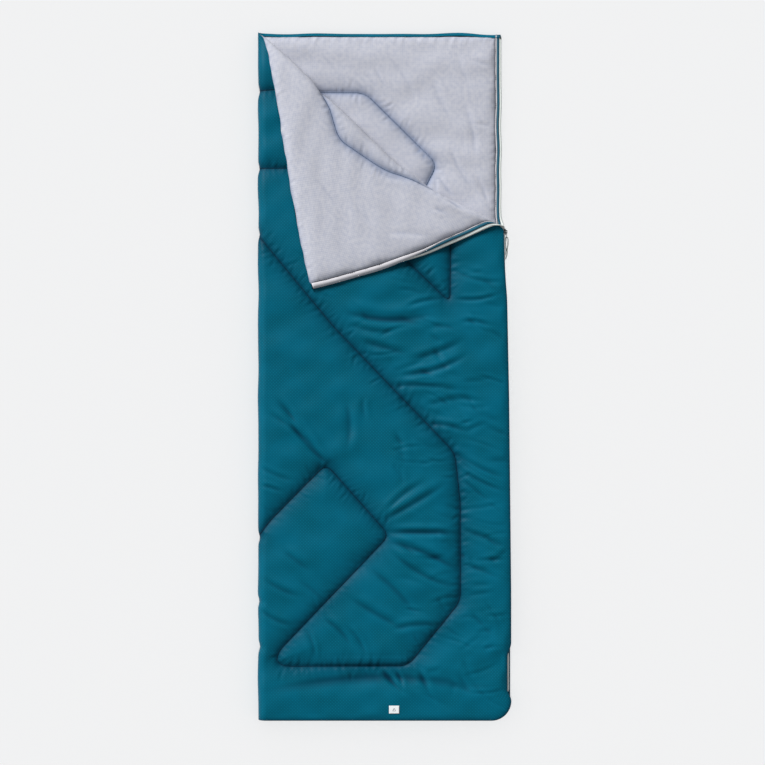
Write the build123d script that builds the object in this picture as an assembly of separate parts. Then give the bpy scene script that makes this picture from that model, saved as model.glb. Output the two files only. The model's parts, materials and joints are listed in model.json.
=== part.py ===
from build123d import *
import math
import os

# A rectangular quilted sleeping bag lying flat, zipped shut along its right side and round its foot, with the
# head corner of its cover unzipped and folded back. Millimetres. +Y is towards the head, +X towards the zip and
# +Z up. The origin is on the surface that the bag lies on, under the middle of the bag.
#
# Each panel is a padded sandwich: an outer shell, a sheet of wadding and a lining. The lower panel is drawn once,
# and the cover is its mirror image. The cover's corner beyond the fold is cut off as the flap, drawn where it lies
# when the bag is shut, and then turned half a turn about the fold.

# Overall sizes
BAG_WIDTH = 700.0
BAG_LENGTH = 1903.0
PANEL_LOFT = 25.0
LINING_GAP = 6.0
CORNER_RADIUS = 55.0

# The panels' skins and edges
SKIN = 0.8
SEAM_HEIGHT = 13.2
SIDE_SEAM_CLEARANCE = 0.5
SIDE_BEVEL = (16.0, 18.0)
LIP_BEVEL = (7.0, 4.0)
LIP_TOP = 8.5
LIP_WIDTH = 33.0
SLOPE_WIDTH = 16.0
HEAD_BEVEL_LOW = (8.0, 7.0)
HEAD_BEVEL_HIGH = (16.0, 10.0)

# The zip
ZIP_INSET = 17.0
TAPE_THICKNESS = 0.7
TAPE_UPRIGHT = 5.0
TAPE_SEAM_CLEARANCE = 1.5
TAPE_FOOT_LIFT = 0.7
COIL_WIDTH = 2.2
COIL_HEIGHT = 2.0
COIL_HALF_GAP = 1.0
STRIP_THICKNESS = 0.5
STRIP_CLEARANCE = 0.1
GUARD_WIDTH = 8.5
BINDING_START = 1.5
BINDING_WIDTH = 5.0
SEAM_THREAD_START = 8.0
SEAM_THREAD_WIDTH = 1.0
TAPE_HEAD_MARGIN = 4.0
TAPE_FOOT_MARGIN = 14.0
COIL_END_MARGIN = 10.0
STOP_LENGTH = 5.0
STOP_WIDTH = 3.2
STOP_HEIGHT = 2.4

# The fold of the flap
FOLD_ANGLE = 38.4
FOLD_GAP = 0.6
FOLD_LIFT = 0.45

# Quilting and label
THREAD_WIDTH = 1.4
THREAD_HEIGHT = 0.25
QUILT_CORNER = 22.0
THREAD_SIDE_MARGIN = 20.0
QUILT_DRAWN_FOR = (700.0, 1903.0)
LABEL_SIZE = (28.0, 22.0)
LABEL_THICKNESS = 0.4
LABEL_FROM_MIDDLE = 26.5
LABEL_FROM_FOOT = 32.0
LABEL_THREAD_INSET = 1.5
LABEL_THREAD_WIDTH = 0.6

# Side seam tape, on the lower lining
SEAM_TAPE_WIDTH = 10.0
SEAM_TAPE_THICKNESS = 0.5

# Slider and pull
SLIDER_LENGTH = 15.0
SLIDER_HEAD_HALF_WIDTH = 6.0
SLIDER_FOOT_HALF_WIDTH = 4.6
SLIDER_PLATE = 1.2
SLIDER_CLEARANCE = 0.5
SLIDER_FLANGE = 1.0
SLIDER_SLOT_HALF = 0.8
SLIDER_FROM_FOLD = 10.5
POST_HALF_WIDTH = 0.7
POST_LENGTH = 3.0
POST_FROM_CENTRE = 5.0
CROWN_HALF_WIDTH = 1.4
CROWN_LENGTH = 9.0
CROWN_HEIGHT = 4.45
CROWN_WALL = 1.0
CROWN_EYE_LENGTH = 4.0
PULL_PIN_RADIUS = 0.7
PULL_PIN_LIFT = 2.6
PULL_THICKNESS = 1.2
PULL_ARM = 0.9
PULL_SIDE_CLEARANCE = 0.3
PULL_ARM_LENGTH = 8.0
PULL_PLATE_LENGTH = 10.0
PULL_HALF_WIDTH = 2.9
PULL_EYE_RADIUS = 1.7
PULL_EYE_FROM_END = 3.4

# Pull cord: one limp cord, from one loose end through the knot, up to the pull's eye, through it, and back down
# through the knot to the other loose end. Its points are measured from the middle of the eye.
CORD_DIAMETER = 2.2
KNOT_RADIUS = 3.0
KNOT_LENGTH = 7.5
KNOT_CENTRE = (1.2, -34.2, -14.3)
CORD_ROUTE = [
    (-1.5, -60.0, -15.8),
    (1.6, -51.5, -15.8),
    (2.9, -42.5, -15.2),
    (2.45, -34.0, -14.4),
    (4.4, -24.0, -12.0),
    (5.0, -13.5, -7.2),
    (4.3, -6.5, -2.8),
    (3.0, -2.3, -0.5),
    (1.25, 0.0, 0.0),
    (-1.25, 0.0, 0.0),
    (-2.9, -2.3, -0.7),
    (-2.9, -6.3, -3.5),
    (-2.7, -13.5, -8.5),
    (-1.9, -24.0, -12.6),
    (-0.05, -34.5, -14.3),
    (-1.2, -43.5, -15.3),
    (-3.6, -51.0, -15.5),
    (-4.5, -57.5, -15.6),
]

# Worked out from the sizes above
LEFT, RIGHT = -BAG_WIDTH / 2, BAG_WIDTH / 2
FOOT, HEAD = -BAG_LENGTH / 2, BAG_LENGTH / 2
MIDDLE_Z = PANEL_LOFT + LINING_GAP / 2
TOP_Z = 2 * MIDDLE_Z
ZIP_X = RIGHT - ZIP_INSET
CORNER_X, CORNER_Y = RIGHT - CORNER_RADIUS, FOOT + CORNER_RADIUS
SEAM_X = RIGHT - LIP_WIDTH
COIL_LOW_Z = MIDDLE_Z - COIL_HALF_GAP - COIL_HEIGHT
FOLD_DIRECTION = Vector(math.cos(math.radians(FOLD_ANGLE)), -math.sin(math.radians(FOLD_ANGLE)), 0)
FOLD_Z = TOP_Z + FOLD_LIFT
FOLD_AXIS = Axis((LEFT, HEAD, FOLD_Z), FOLD_DIRECTION)
FOLD_END_Y = HEAD - (ZIP_X - LEFT) * math.tan(math.radians(FOLD_ANGLE))
SLIDER_Y = FOLD_END_Y - SLIDER_FROM_FOLD
OUTER_PLATE_X = ZIP_X + COIL_WIDTH / 2 + SLIDER_CLEARANCE
PIN_X = OUTER_PLATE_X + SLIDER_PLATE + PULL_PIN_LIFT
REACH = 2 * BAG_LENGTH

# Quilting lines, as corners of the stitched path seen from above on the shut bag. They are drawn for a panel of
# QUILT_DRAWN_FOR, and stretched with the panel to the bag's own width and length.
SIDE_START = THREAD_SIDE_MARGIN - QUILT_DRAWN_FOR[0] / 2
MAIN_LOOP = [
    (SIDE_START, 360.0),
    (191.0, -212.0),
    (210.0, -632.0),
    (68.0, -797.0),
    (-291.0, -797.0),
    (15.0, -437.0),
    (-166.0, -245.0),
    (-319.0, -401.0),
    (SIDE_START + 1.0, -420.0),
]
COVER_HEAD_LOOP = [
    (SIDE_START, 788.0),
    (-46.0, 791.0),
    (188.0, 568.0),
    (181.0, 203.0),
    (-207.0, 574.0),
    (SIDE_START, 574.0),
]
LOWER_HEAD_LOOP = [
    (SIDE_START, 788.0),
    (-54.0, 786.0),
    (146.0, 588.0),
    (40.0, 380.0),
    (-207.0, 574.0),
    (SIDE_START, 574.0),
]


def polygon_xz(points, y):
    """A flat face in the plane across the bag at y."""
    return Face(Wire.make_polygon([(x, y, z) for x, z in points], close=True))


def polygon_yz(points, x):
    """A flat face in the plane along the bag at x."""
    return Face(Wire.make_polygon([(x, y, z) for y, z in points], close=True))


def inset(face, amount):
    """The face with every side moved inwards by amount, or outwards where it is negative."""
    if amount == 0:
        return face
    return offset(face, -amount, kind=Kind.INTERSECTION).face()


def zip_run(points, head_y, foot_x, grow=0.0):
    """Sweeps a section, drawn in x and z at the right edge, from head_y down the right edge, round the foot's
    corner and along the foot to foot_x."""
    section = inset(polygon_xz(points, CORNER_Y), -grow)
    corner_axis = Axis((CORNER_X, CORNER_Y, 0), (0, 0, -1))
    side = extrude(section, head_y - CORNER_Y, dir=(0, 1, 0))
    corner = revolve(section, corner_axis, 90)
    foot = extrude(section.rotate(corner_axis, 90), CORNER_X - foot_x, dir=(-1, 0, 0))
    return side + corner + foot


def ribbon(start, end, thickness, lift=0.0):
    """The corners of a strip's section between two points, moved off its line to the left by lift."""
    along = Vector(end[0] - start[0], end[1] - start[1]).normalized()
    across = Vector(-along.Y, along.X)
    low, high = across * (lift - thickness / 2), across * (lift + thickness / 2)
    corners = [(start, low), (end, low), (end, high), (start, high)]
    return [(p[0] + move.X, p[1] + move.Y) for p, move in corners]


def along_line(start, end, distance):
    """The point at distance from start towards end."""
    share = distance / math.dist(start, end)
    return (start[0] + share * (end[0] - start[0]), start[1] + share * (end[1] - start[1]))


def lower_blank(wall):
    """The lower panel's whole solid, with every face moved inwards by wall."""
    left = LEFT + SIDE_SEAM_CLEARANCE
    across = [
        (left, PANEL_LOFT),
        (left, SIDE_BEVEL[1]),
        (LEFT + SIDE_BEVEL[0], 0),
        (RIGHT - LIP_BEVEL[0], 0),
        (RIGHT, LIP_BEVEL[1]),
        (RIGHT, PANEL_LOFT),
    ]
    along = [
        (FOOT, PANEL_LOFT),
        (FOOT, LIP_BEVEL[1]),
        (FOOT + LIP_BEVEL[0], 0),
        (HEAD - HEAD_BEVEL_LOW[0], 0),
        (HEAD, HEAD_BEVEL_LOW[1]),
        (HEAD, PANEL_LOFT - HEAD_BEVEL_HIGH[1]),
        (HEAD - HEAD_BEVEL_HIGH[0], PANEL_LOFT),
    ]
    slope_top = (SEAM_X - SLOPE_WIDTH, PANEL_LOFT)
    lip_fall = (SEAM_HEIGHT - LIP_TOP) / LIP_WIDTH
    groove = [
        (SEAM_X, SEAM_HEIGHT),
        (RIGHT + LIP_WIDTH, LIP_TOP - lip_fall * LIP_WIDTH),
        (RIGHT + LIP_WIDTH, TOP_Z),
        (slope_top[0], TOP_Z),
        slope_top,
    ]
    outline = Face(Wire.make_polygon([(left, FOOT), (RIGHT, FOOT), (RIGHT, HEAD), (left, HEAD)], close=True))
    rounded = outline.vertices().sort_by(Axis.X)[-2:].sort_by(Axis.Y)[0]
    outline = inset(fillet(rounded, CORNER_RADIUS).face(), wall)
    blank = extrude(outline, TOP_Z, dir=(0, 0, 1))
    blank = blank & extrude(inset(polygon_xz(across, -REACH), wall), 2 * REACH, dir=(0, 1, 0))
    blank = blank & extrude(inset(polygon_yz(along, -REACH), wall), 2 * REACH, dir=(1, 0, 0))
    return blank - zip_run(groove, HEAD + LIP_WIDTH, LEFT - LIP_WIDTH, grow=wall)


def lower_layers():
    """The lower panel's shell, wadding and lining, which meet face to face. Shell and lining meet at the seam."""
    wadding = lower_blank(SKIN)
    skin = lower_blank(0) - wadding
    below_seam = Pos(0, 0, SEAM_HEIGHT - REACH / 2) * Box(REACH, REACH, REACH)
    return {"shell": skin & below_seam, "wadding": wadding, "lining": skin - below_seam}


def lower_zip():
    """The zip's parts that are sewn to the lower panel: tape, coil, guard strip, lining binding and seam thread."""
    tape_head, tape_foot_x = HEAD - TAPE_HEAD_MARGIN, LEFT + TAPE_FOOT_MARGIN
    coil_head, coil_foot_x = tape_head - COIL_END_MARGIN, tape_foot_x + COIL_END_MARGIN
    bend = (ZIP_X, COIL_LOW_Z - TAPE_UPRIGHT)
    sewn = (SEAM_X + TAPE_SEAM_CLEARANCE, SEAM_HEIGHT + TAPE_FOOT_LIFT)
    half = TAPE_THICKNESS / 2
    slant = ribbon(sewn, bend, TAPE_THICKNESS)
    tape = [
        slant[0],
        (bend[0] + half, bend[1]),
        (bend[0] + half, COIL_LOW_Z),
        (bend[0] - half, COIL_LOW_Z),
        (bend[0] - half, bend[1] + half),
        slant[3],
    ]
    coil = [
        (ZIP_X - COIL_WIDTH / 2, COIL_LOW_Z),
        (ZIP_X + COIL_WIDTH / 2, COIL_LOW_Z),
        (ZIP_X + COIL_WIDTH / 2, COIL_LOW_Z + COIL_HEIGHT),
        (ZIP_X - COIL_WIDTH / 2, COIL_LOW_Z + COIL_HEIGHT),
    ]
    lift = half + STRIP_CLEARANCE + STRIP_THICKNESS / 2
    guard = ribbon(sewn, along_line(sewn, bend, GUARD_WIDTH), STRIP_THICKNESS, lift)
    slope_low, slope_high = (SEAM_X, SEAM_HEIGHT), (SEAM_X - SLOPE_WIDTH, PANEL_LOFT)
    off_slope = -(STRIP_CLEARANCE + STRIP_THICKNESS / 2)

    def on_slope(start, width):
        return ribbon(
            along_line(slope_low, slope_high, start),
            along_line(slope_low, slope_high, start + width),
            STRIP_THICKNESS,
            off_slope,
        )

    return {
        "zip_tape": zip_run(tape, tape_head, tape_foot_x),
        "zip_coil": zip_run(coil, coil_head, coil_foot_x),
        "zip_guard": zip_run(guard, tape_head, tape_foot_x),
        "lining_binding": zip_run(on_slope(BINDING_START, BINDING_WIDTH), tape_head, tape_foot_x),
        "zip_seam_thread": zip_run(on_slope(SEAM_THREAD_START, SEAM_THREAD_WIDTH), tape_head, tape_foot_x),
    }


def lower_stops():
    """The clips that close the coil's two ends, one at the head and one at the foot of the side seam."""
    tape_head, tape_foot_x = HEAD - TAPE_HEAD_MARGIN, LEFT + TAPE_FOOT_MARGIN
    middle_z = COIL_LOW_Z + STOP_HEIGHT / 2
    head_y = tape_head - COIL_END_MARGIN + STOP_LENGTH / 2
    foot_x = tape_foot_x + COIL_END_MARGIN - STOP_LENGTH / 2
    head = Pos(ZIP_X, head_y, middle_z) * Box(STOP_WIDTH, STOP_LENGTH, STOP_HEIGHT)
    foot = Pos(foot_x, FOOT + ZIP_INSET, middle_z) * Box(STOP_LENGTH, STOP_WIDTH, STOP_HEIGHT)
    return head, foot


def quilt_thread(points, z):
    """A stitched line along the corners, rounded at each, lying on a face at z."""
    wider, longer = BAG_WIDTH / QUILT_DRAWN_FOR[0], BAG_LENGTH / QUILT_DRAWN_FOR[1]
    path = FilletPolyline(*[(x * wider, y * longer) for x, y in points], radius=QUILT_CORNER)
    return extrude(Pos(0, 0, z) * trace(path, THREAD_WIDTH), THREAD_HEIGHT, dir=(0, 0, 1))


def mirrored(shape):
    """The cover's copy of a lower piece."""
    return mirror(shape, about=Plane.XY.offset(MIDDLE_Z))


def beyond_fold(side):
    """A block that holds everything on one side of the fold: 1 for the flap, -1 for the rest of the cover."""
    fold_plane = Plane(origin=(LEFT, HEAD, 0), x_dir=FOLD_DIRECTION, z_dir=(0, 0, 1))
    return fold_plane * Pos(0, side * (REACH + FOLD_GAP) / 2, 0) * Box(2 * REACH, REACH, REACH)


def folded_back(shape):
    """The flap's part of a piece, turned from where it shuts the bag to where it lies on the cover."""
    return (shape & beyond_fold(1)).rotate(FOLD_AXIS, 180)


def cover_rest(shape):
    """The part of a cover piece that isn't on the flap."""
    return shape & beyond_fold(-1)


def label():
    """The cloth label near the foot, and the frame of stitches that holds it."""
    x, y = LABEL_FROM_MIDDLE, FOOT + LABEL_FROM_FOOT
    width, height = LABEL_SIZE
    cloth = Pos(x, y, TOP_Z + LABEL_THICKNESS / 2) * Box(width, height, LABEL_THICKNESS)
    outer = Rectangle(width - 2 * LABEL_THREAD_INSET, height - 2 * LABEL_THREAD_INSET)
    frame = outer - offset(outer, -LABEL_THREAD_WIDTH, kind=Kind.INTERSECTION)
    return cloth, extrude(Pos(x, y, TOP_Z + LABEL_THICKNESS) * frame, THREAD_HEIGHT, dir=(0, 0, 1))


def slider():
    """The slider's body: two plates with flanges that hold the coils, the post between them and the crown."""
    half_length = SLIDER_LENGTH / 2
    outline = [
        (SLIDER_Y + half_length, -SLIDER_HEAD_HALF_WIDTH),
        (SLIDER_Y + half_length, SLIDER_HEAD_HALF_WIDTH),
        (SLIDER_Y, SLIDER_HEAD_HALF_WIDTH),
        (SLIDER_Y - half_length, SLIDER_FOOT_HALF_WIDTH),
        (SLIDER_Y - half_length, -SLIDER_FOOT_HALF_WIDTH),
        (SLIDER_Y, -SLIDER_HEAD_HALF_WIDTH),
    ]
    inner_x = 2 * ZIP_X - OUTER_PLATE_X - SLIDER_PLATE
    thickness = OUTER_PLATE_X + SLIDER_PLATE - inner_x
    block = extrude(polygon_yz([(y, MIDDLE_Z + z) for y, z in outline], inner_x), thickness, dir=(1, 0, 0))
    rim = [(y, MIDDLE_Z + z - math.copysign(SLIDER_FLANGE, z)) for y, z in outline]
    rim = [(y + math.copysign(SLIDER_FLANGE, y - SLIDER_Y) if y != SLIDER_Y else y, z) for y, z in rim]
    channel_depth = 2 * (OUTER_PLATE_X - ZIP_X)
    channel = extrude(polygon_yz(rim, ZIP_X - channel_depth / 2), channel_depth, dir=(1, 0, 0))
    slot = Pos(ZIP_X, SLIDER_Y, MIDDLE_Z) * Box(2 * SLIDER_SLOT_HALF, 2 * SLIDER_LENGTH, 4 * SLIDER_HEAD_HALF_WIDTH)
    post = Pos(ZIP_X, SLIDER_Y + POST_FROM_CENTRE, MIDDLE_Z) * Box(channel_depth, POST_LENGTH, 2 * POST_HALF_WIDTH)
    crown_x = OUTER_PLATE_X + SLIDER_PLATE + CROWN_HEIGHT / 2
    crown = Pos(crown_x, SLIDER_Y, MIDDLE_Z) * Box(CROWN_HEIGHT, CROWN_LENGTH, 2 * CROWN_HALF_WIDTH)
    crown = fillet(crown.edges().filter_by(Axis.Z).group_by(Axis.X)[-1], CROWN_WALL)
    hole_depth = CROWN_HEIGHT - CROWN_WALL
    hole = Pos(OUTER_PLATE_X + SLIDER_PLATE + hole_depth / 2, SLIDER_Y, MIDDLE_Z)
    hole = hole * Box(hole_depth, CROWN_EYE_LENGTH, 4 * CROWN_HALF_WIDTH)
    return block - channel - slot + post + (crown - hole)


def pull():
    """The pull: a round bar under the crown, two arms and a plate with an eye for the cord."""
    half_gap = CROWN_HALF_WIDTH + PULL_SIDE_CLEARANCE
    bar_length = 2 * (half_gap + PULL_ARM)
    bar = Pos(PIN_X, SLIDER_Y, MIDDLE_Z) * Cylinder(PULL_PIN_RADIUS, bar_length)
    arm_y = SLIDER_Y - PULL_ARM_LENGTH / 2
    arms = [
        Pos(PIN_X, arm_y, MIDDLE_Z + side * (half_gap + PULL_ARM / 2)) * Box(PULL_THICKNESS, PULL_ARM_LENGTH, PULL_ARM)
        for side in (-1, 1)
    ]
    plate_y = SLIDER_Y - PULL_ARM_LENGTH - PULL_PLATE_LENGTH / 2
    plate = Pos(PIN_X, plate_y, MIDDLE_Z) * Box(PULL_THICKNESS, PULL_PLATE_LENGTH, 2 * PULL_HALF_WIDTH)
    plate = fillet(plate.edges().filter_by(Axis.X).group_by(Axis.Y)[0], PULL_HALF_WIDTH - PULL_THICKNESS / 2)
    eye = Pos(PIN_X, EYE_Y, MIDDLE_Z) * Rot(0, 90, 0) * Cylinder(PULL_EYE_RADIUS, 2 * PULL_THICKNESS)
    return bar + arms[0] + arms[1] + (plate - eye)


EYE_Y = SLIDER_Y - PULL_ARM_LENGTH - PULL_PLATE_LENGTH + PULL_EYE_FROM_END


def pull_cord():
    """The pull cord: straight runs joined by arcs as large as the runs allow."""
    points = [Vector(PIN_X + x, EYE_Y + y, MIDDLE_Z + z) for x, y, z in CORD_ROUTE]
    radii = []
    for before, at, after in zip(points, points[1:], points[2:]):
        turn = math.radians((at - before).get_angle(after - at))
        radii.append(0.45 * min((at - before).length, (after - at).length) / math.tan(turn / 2))
    path = FilletPolyline(*points, radius=radii)
    circle = Plane(origin=points[0], z_dir=points[1] - points[0]) * Circle(CORD_DIAMETER / 2)
    tube = sweep(circle, path=path)
    share = tube.volume / (math.pi * CORD_DIAMETER**2 / 4 * path.length)
    print("pull_cord length", round(path.length, 1), "radii", [round(r, 1) for r in radii])
    print("pull_cord volume over section times length", round(share, 3))
    return tube


def knot():
    """The knot that ties the cord into a loop. Both strands of the cord are tied up in it."""
    round_knot = Cylinder(KNOT_RADIUS, KNOT_LENGTH, rotation=(90, 0, 0))
    round_knot = fillet(round_knot.edges(), KNOT_RADIUS / 2)
    x, y, z = KNOT_CENTRE
    return Pos(PIN_X + x, EYE_Y + y, MIDDLE_Z + z) * round_knot


def side_seam_tape():
    """The tape that binds the side seam inside the bag, laid on the lower lining where the cover opens."""
    x = LEFT + SIDE_SEAM_CLEARANCE + SEAM_TAPE_WIDTH / 2
    length = BAG_LENGTH - 2 * HEAD_BEVEL_HIGH[0] - 2 * (LIP_WIDTH + SLOPE_WIDTH)
    return Pos(x, 0, PANEL_LOFT + SEAM_TAPE_THICKNESS / 2) * Box(SEAM_TAPE_WIDTH, length, SEAM_TAPE_THICKNESS)


def main():
    os.makedirs("parts", exist_ok=True)
    layers, zipper, (head_stop, foot_stop) = lower_layers(), lower_zip(), lower_stops()
    parts = {f"lower_{name}": shape for name, shape in (layers | zipper).items()}
    parts["lower_quilt_thread"] = quilt_thread(MAIN_LOOP, PANEL_LOFT) + quilt_thread(LOWER_HEAD_LOOP, PANEL_LOFT)
    parts["lower_zip_head_stop"] = head_stop
    parts["lower_zip_foot_stop"] = foot_stop
    parts["side_seam_tape"] = side_seam_tape()
    for name, shape in (layers | zipper).items():
        parts[f"cover_{name}"] = cover_rest(mirrored(shape))
        parts[f"flap_{name}"] = folded_back(mirrored(shape))
    head_loop = quilt_thread(COVER_HEAD_LOOP, TOP_Z)
    parts["cover_quilt_thread"] = quilt_thread(MAIN_LOOP, TOP_Z) + cover_rest(head_loop)
    parts["flap_quilt_thread"] = folded_back(head_loop)
    parts["flap_zip_head_stop"] = folded_back(mirrored(head_stop))
    parts["cover_zip_foot_stop"] = mirrored(foot_stop)
    parts["label_cloth"], parts["label_stitching"] = label()
    parts["zip_slider"] = slider()
    parts["slider_pull"] = pull()
    parts["pull_cord"] = pull_cord()
    parts["pull_cord_knot"] = knot()
    for name, shape in parts.items():
        export_step(shape, f"parts/{name}.step")


main()
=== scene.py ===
# %% [markdown]
# # A rectangular quilted sleeping bag
# The bag lies flat, zipped shut down its right side and round its foot, and its head corner is unzipped and
# folded back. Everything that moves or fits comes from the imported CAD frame. This script makes what the eye
# sees: padded cloth from a simulation, a woven zip, rows of stitches, a label and a cord, each with its own
# finish. Lengths are millimetres until a mesh is made, and then metres.

# %% Frame and places
import json
import math

import bpy
import numpy as np
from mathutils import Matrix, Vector
from mathutils.bvhtree import BVHTree


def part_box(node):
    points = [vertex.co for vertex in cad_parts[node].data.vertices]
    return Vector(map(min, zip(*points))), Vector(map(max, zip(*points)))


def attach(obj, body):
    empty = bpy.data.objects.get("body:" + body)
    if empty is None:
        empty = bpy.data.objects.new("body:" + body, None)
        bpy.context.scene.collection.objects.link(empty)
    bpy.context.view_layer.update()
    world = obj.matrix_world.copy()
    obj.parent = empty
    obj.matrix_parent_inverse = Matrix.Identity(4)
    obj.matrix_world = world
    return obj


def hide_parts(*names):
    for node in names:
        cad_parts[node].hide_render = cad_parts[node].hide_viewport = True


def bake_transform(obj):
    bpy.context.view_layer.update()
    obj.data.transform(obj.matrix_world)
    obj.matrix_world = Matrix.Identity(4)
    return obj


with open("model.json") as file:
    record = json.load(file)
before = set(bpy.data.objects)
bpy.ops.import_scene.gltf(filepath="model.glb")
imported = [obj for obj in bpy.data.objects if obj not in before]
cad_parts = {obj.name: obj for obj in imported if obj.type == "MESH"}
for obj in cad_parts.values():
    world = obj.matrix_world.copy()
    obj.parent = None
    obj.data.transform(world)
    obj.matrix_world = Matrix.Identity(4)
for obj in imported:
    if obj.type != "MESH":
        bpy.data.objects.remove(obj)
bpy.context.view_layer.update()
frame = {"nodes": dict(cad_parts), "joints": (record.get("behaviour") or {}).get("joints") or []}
MM = 0.001
joints = {joint["name"]: joint for joint in frame["joints"]}


def box_mm(node):
    """A CAD node's lowest and highest corner, in millimetres."""
    return [np.array(corner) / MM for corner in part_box(node)]


fold_start = np.array(joints["flap_fold"]["pos_m"]) / MM
fold_along = -np.array(joints["flap_fold"]["axis"])
fold_across = np.array([-fold_along[1], fold_along[0], 0.0])
LEFT, _, MIDDLE_Z = np.array(joints["cover_open"]["pos_m"]) / MM
(_, FOOT, _), (RIGHT, HEAD, _) = box_mm("lower_shell")
lining_low, lining_high = box_mm("lower_lining")
SEAM_Z, SEAM_X, LINING_TOP = lining_low[2], lining_high[0], lining_high[2]
ZIP_X, COIL_Z = (sum(box_mm("lower_zip_head_stop")) / 2)[0], (sum(box_mm("lower_zip_coil")) / 2)[2]
SLIDER_Y = (sum(box_mm("zip_slider")) / 2)[1]
TOP_Z = 2 * MIDDLE_Z
HALF_LOFT = LINING_TOP / 2
CORNER_RADIUS = 55.0
FOLD_LENGTH = (ZIP_X - LEFT) / fold_along[0]
print("bag from", LEFT, FOOT, "to", RIGHT, HEAD, "zip at", ZIP_X, "slider at", SLIDER_Y)

# %% [markdown]
# ## The camera and the floor
# A flat thing like this is shown from straight above, so that its outline is true. The camera stands high
# over the middle with a long lens, and the floor is a plain pale sweep that only takes a soft shadow.

# %% Camera, floor and light
CAMERA_HEIGHT, VIEW_WIDTH, SENSOR = 5.2, 2.131, 36.0
camera_data = bpy.data.cameras.new("camera")
camera_data.sensor_width = SENSOR
camera_data.lens = SENSOR * CAMERA_HEIGHT / VIEW_WIDTH
camera = bpy.data.objects.new("camera", camera_data)
camera.location = (-0.0056, -0.0181, CAMERA_HEIGHT)
bpy.context.scene.collection.objects.link(camera)
bpy.context.scene.camera = camera
bpy.context.scene.view_settings.view_transform = "Standard"


def linear(hex_colour, alpha=1.0):
    """An sRGB hex colour as the linear numbers that a shader takes."""
    values = [int(hex_colour[i:i + 2], 16) / 255 for i in (0, 2, 4)]
    return [v / 12.92 if v <= 0.04045 else ((v + 0.055) / 1.055) ** 2.4 for v in values] + [alpha]


def add_node(tree, kind, inputs=None, **settings):
    """One node with its settings and its inputs, which are values or the sockets that feed them."""
    node = tree.nodes.new(kind)
    for name, value in settings.items():
        setattr(node, name, value)
    for name, value in (inputs or {}).items():
        if isinstance(value, bpy.types.NodeSocket):
            tree.links.new(value, node.inputs[name])
        else:
            node.inputs[name].default_value = value
    return node


def new_material(name, **shader_inputs):
    """A new material with a Principled shader: the material, its node tree and the shader."""
    material = bpy.data.materials.new(name)
    material.use_nodes = True
    tree = material.node_tree
    shader = tree.nodes["Principled BSDF"]
    for key, value in shader_inputs.items():
        shader.inputs[key.replace("_", " ")].default_value = value
    return material, tree, shader


floor_paper, _, _ = new_material("pale_backdrop_paper", Base_Color=linear("efefef"), Roughness=0.9)
FLOOR_HALF, FLOOR_DROP = 90.0, 0.0008
floor_mesh = bpy.data.meshes.new("floor")
corners = [(x * FLOOR_HALF, y * FLOOR_HALF, -FLOOR_DROP) for x, y in ((-1, -1), (1, -1), (1, 1), (-1, 1))]
floor_mesh.from_pydata(corners, [], [(0, 1, 2, 3)])
floor_mesh.materials.append(floor_paper)
floor = bpy.data.objects.new("floor", floor_mesh)
bpy.context.scene.collection.objects.link(floor)

world = bpy.data.worlds.new("studio")
world.use_nodes = True
world.node_tree.nodes["Background"].inputs["Color"].default_value = linear("fafcff")
world.node_tree.nodes["Background"].inputs["Strength"].default_value = 0.3
bpy.context.scene.world = world


def distant_light(name, towards, softness, power):
    """A large far light, even over the whole floor, that shines from one direction."""
    data = bpy.data.lights.new(name, "SUN")
    data.angle, data.energy = math.radians(softness), power
    light = bpy.data.objects.new(name, data)
    light.rotation_euler = Vector(towards).to_track_quat("Z", "Y").to_euler()
    bpy.context.scene.collection.objects.link(light)
    return light


overhead = distant_light("overhead", (0.02, 0.03, 1.0), 14, 2.3)
key = distant_light("key", (-0.58, 0.62, 0.58), 26, 4.1)
for light, state in ((overhead, "INCLUDE"), (key, "EXCLUDE")):
    group = bpy.data.collections.new("floor_for_" + light.name)
    group.objects.link(floor)
    group.collection_objects[0].light_linking.link_state = state
    light.light_linking.receiver_collection = group
print("camera", camera.location[:], "lens", camera_data.lens)

# %% [markdown]
# ## The cord on the pull
# A thin braided cord is looped through the eye of the zip's pull and tied, so that cold fingers find it. It
# is one limp cord: from a loose end through the knot, up to the eye, through it, and back down. Its route is
# the CAD tube's, as the control points of one smooth curve, and the round body is made as a mesh tube along
# that curve, so that a braid can follow its length. The knot is a small overhand knot, drawn as a trefoil
# round both strands.

# %% Cord route
CORD_DIAMETER = 0.0022
CORD_ROUTE = [
    (-1.5, -60.0, -15.8), (1.6, -51.5, -15.8), (2.9, -42.5, -15.2), (2.45, -34.0, -14.4), (4.4, -24.0, -12.0),
    (5.0, -13.5, -7.2), (4.3, -6.5, -2.8), (3.0, -2.3, -0.5), (1.25, 0.0, 0.0), (-1.25, 0.0, 0.0),
    (-2.9, -2.3, -0.7), (-2.9, -6.3, -3.5), (-2.7, -13.5, -8.5), (-1.9, -24.0, -12.6), (-0.05, -34.5, -14.3),
    (-1.2, -43.5, -15.3), (-3.6, -51.0, -15.5), (-4.5, -57.5, -15.6),
]
EYE_FROM_PULL_END = 3.4
pull_low, pull_high = box_mm("slider_pull")
eye = np.array([(pull_low[0] + pull_high[0]) / 2, pull_low[1] + EYE_FROM_PULL_END, MIDDLE_Z])
route_curve = bpy.data.curves.new("cord_route", "CURVE")
route_curve.dimensions = "3D"
spline = route_curve.splines.new("NURBS")
spline.points.add(len(CORD_ROUTE) - 1)
for point, offset in zip(spline.points, CORD_ROUTE):
    point.co = (*((eye + offset) * MM), 1.0)
spline.order_u = 3
spline.use_endpoint_u = True
spline.resolution_u = 8
route = bpy.data.objects.new("cord_route", route_curve)
bpy.context.scene.collection.objects.link(route)
bpy.context.view_layer.update()
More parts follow.
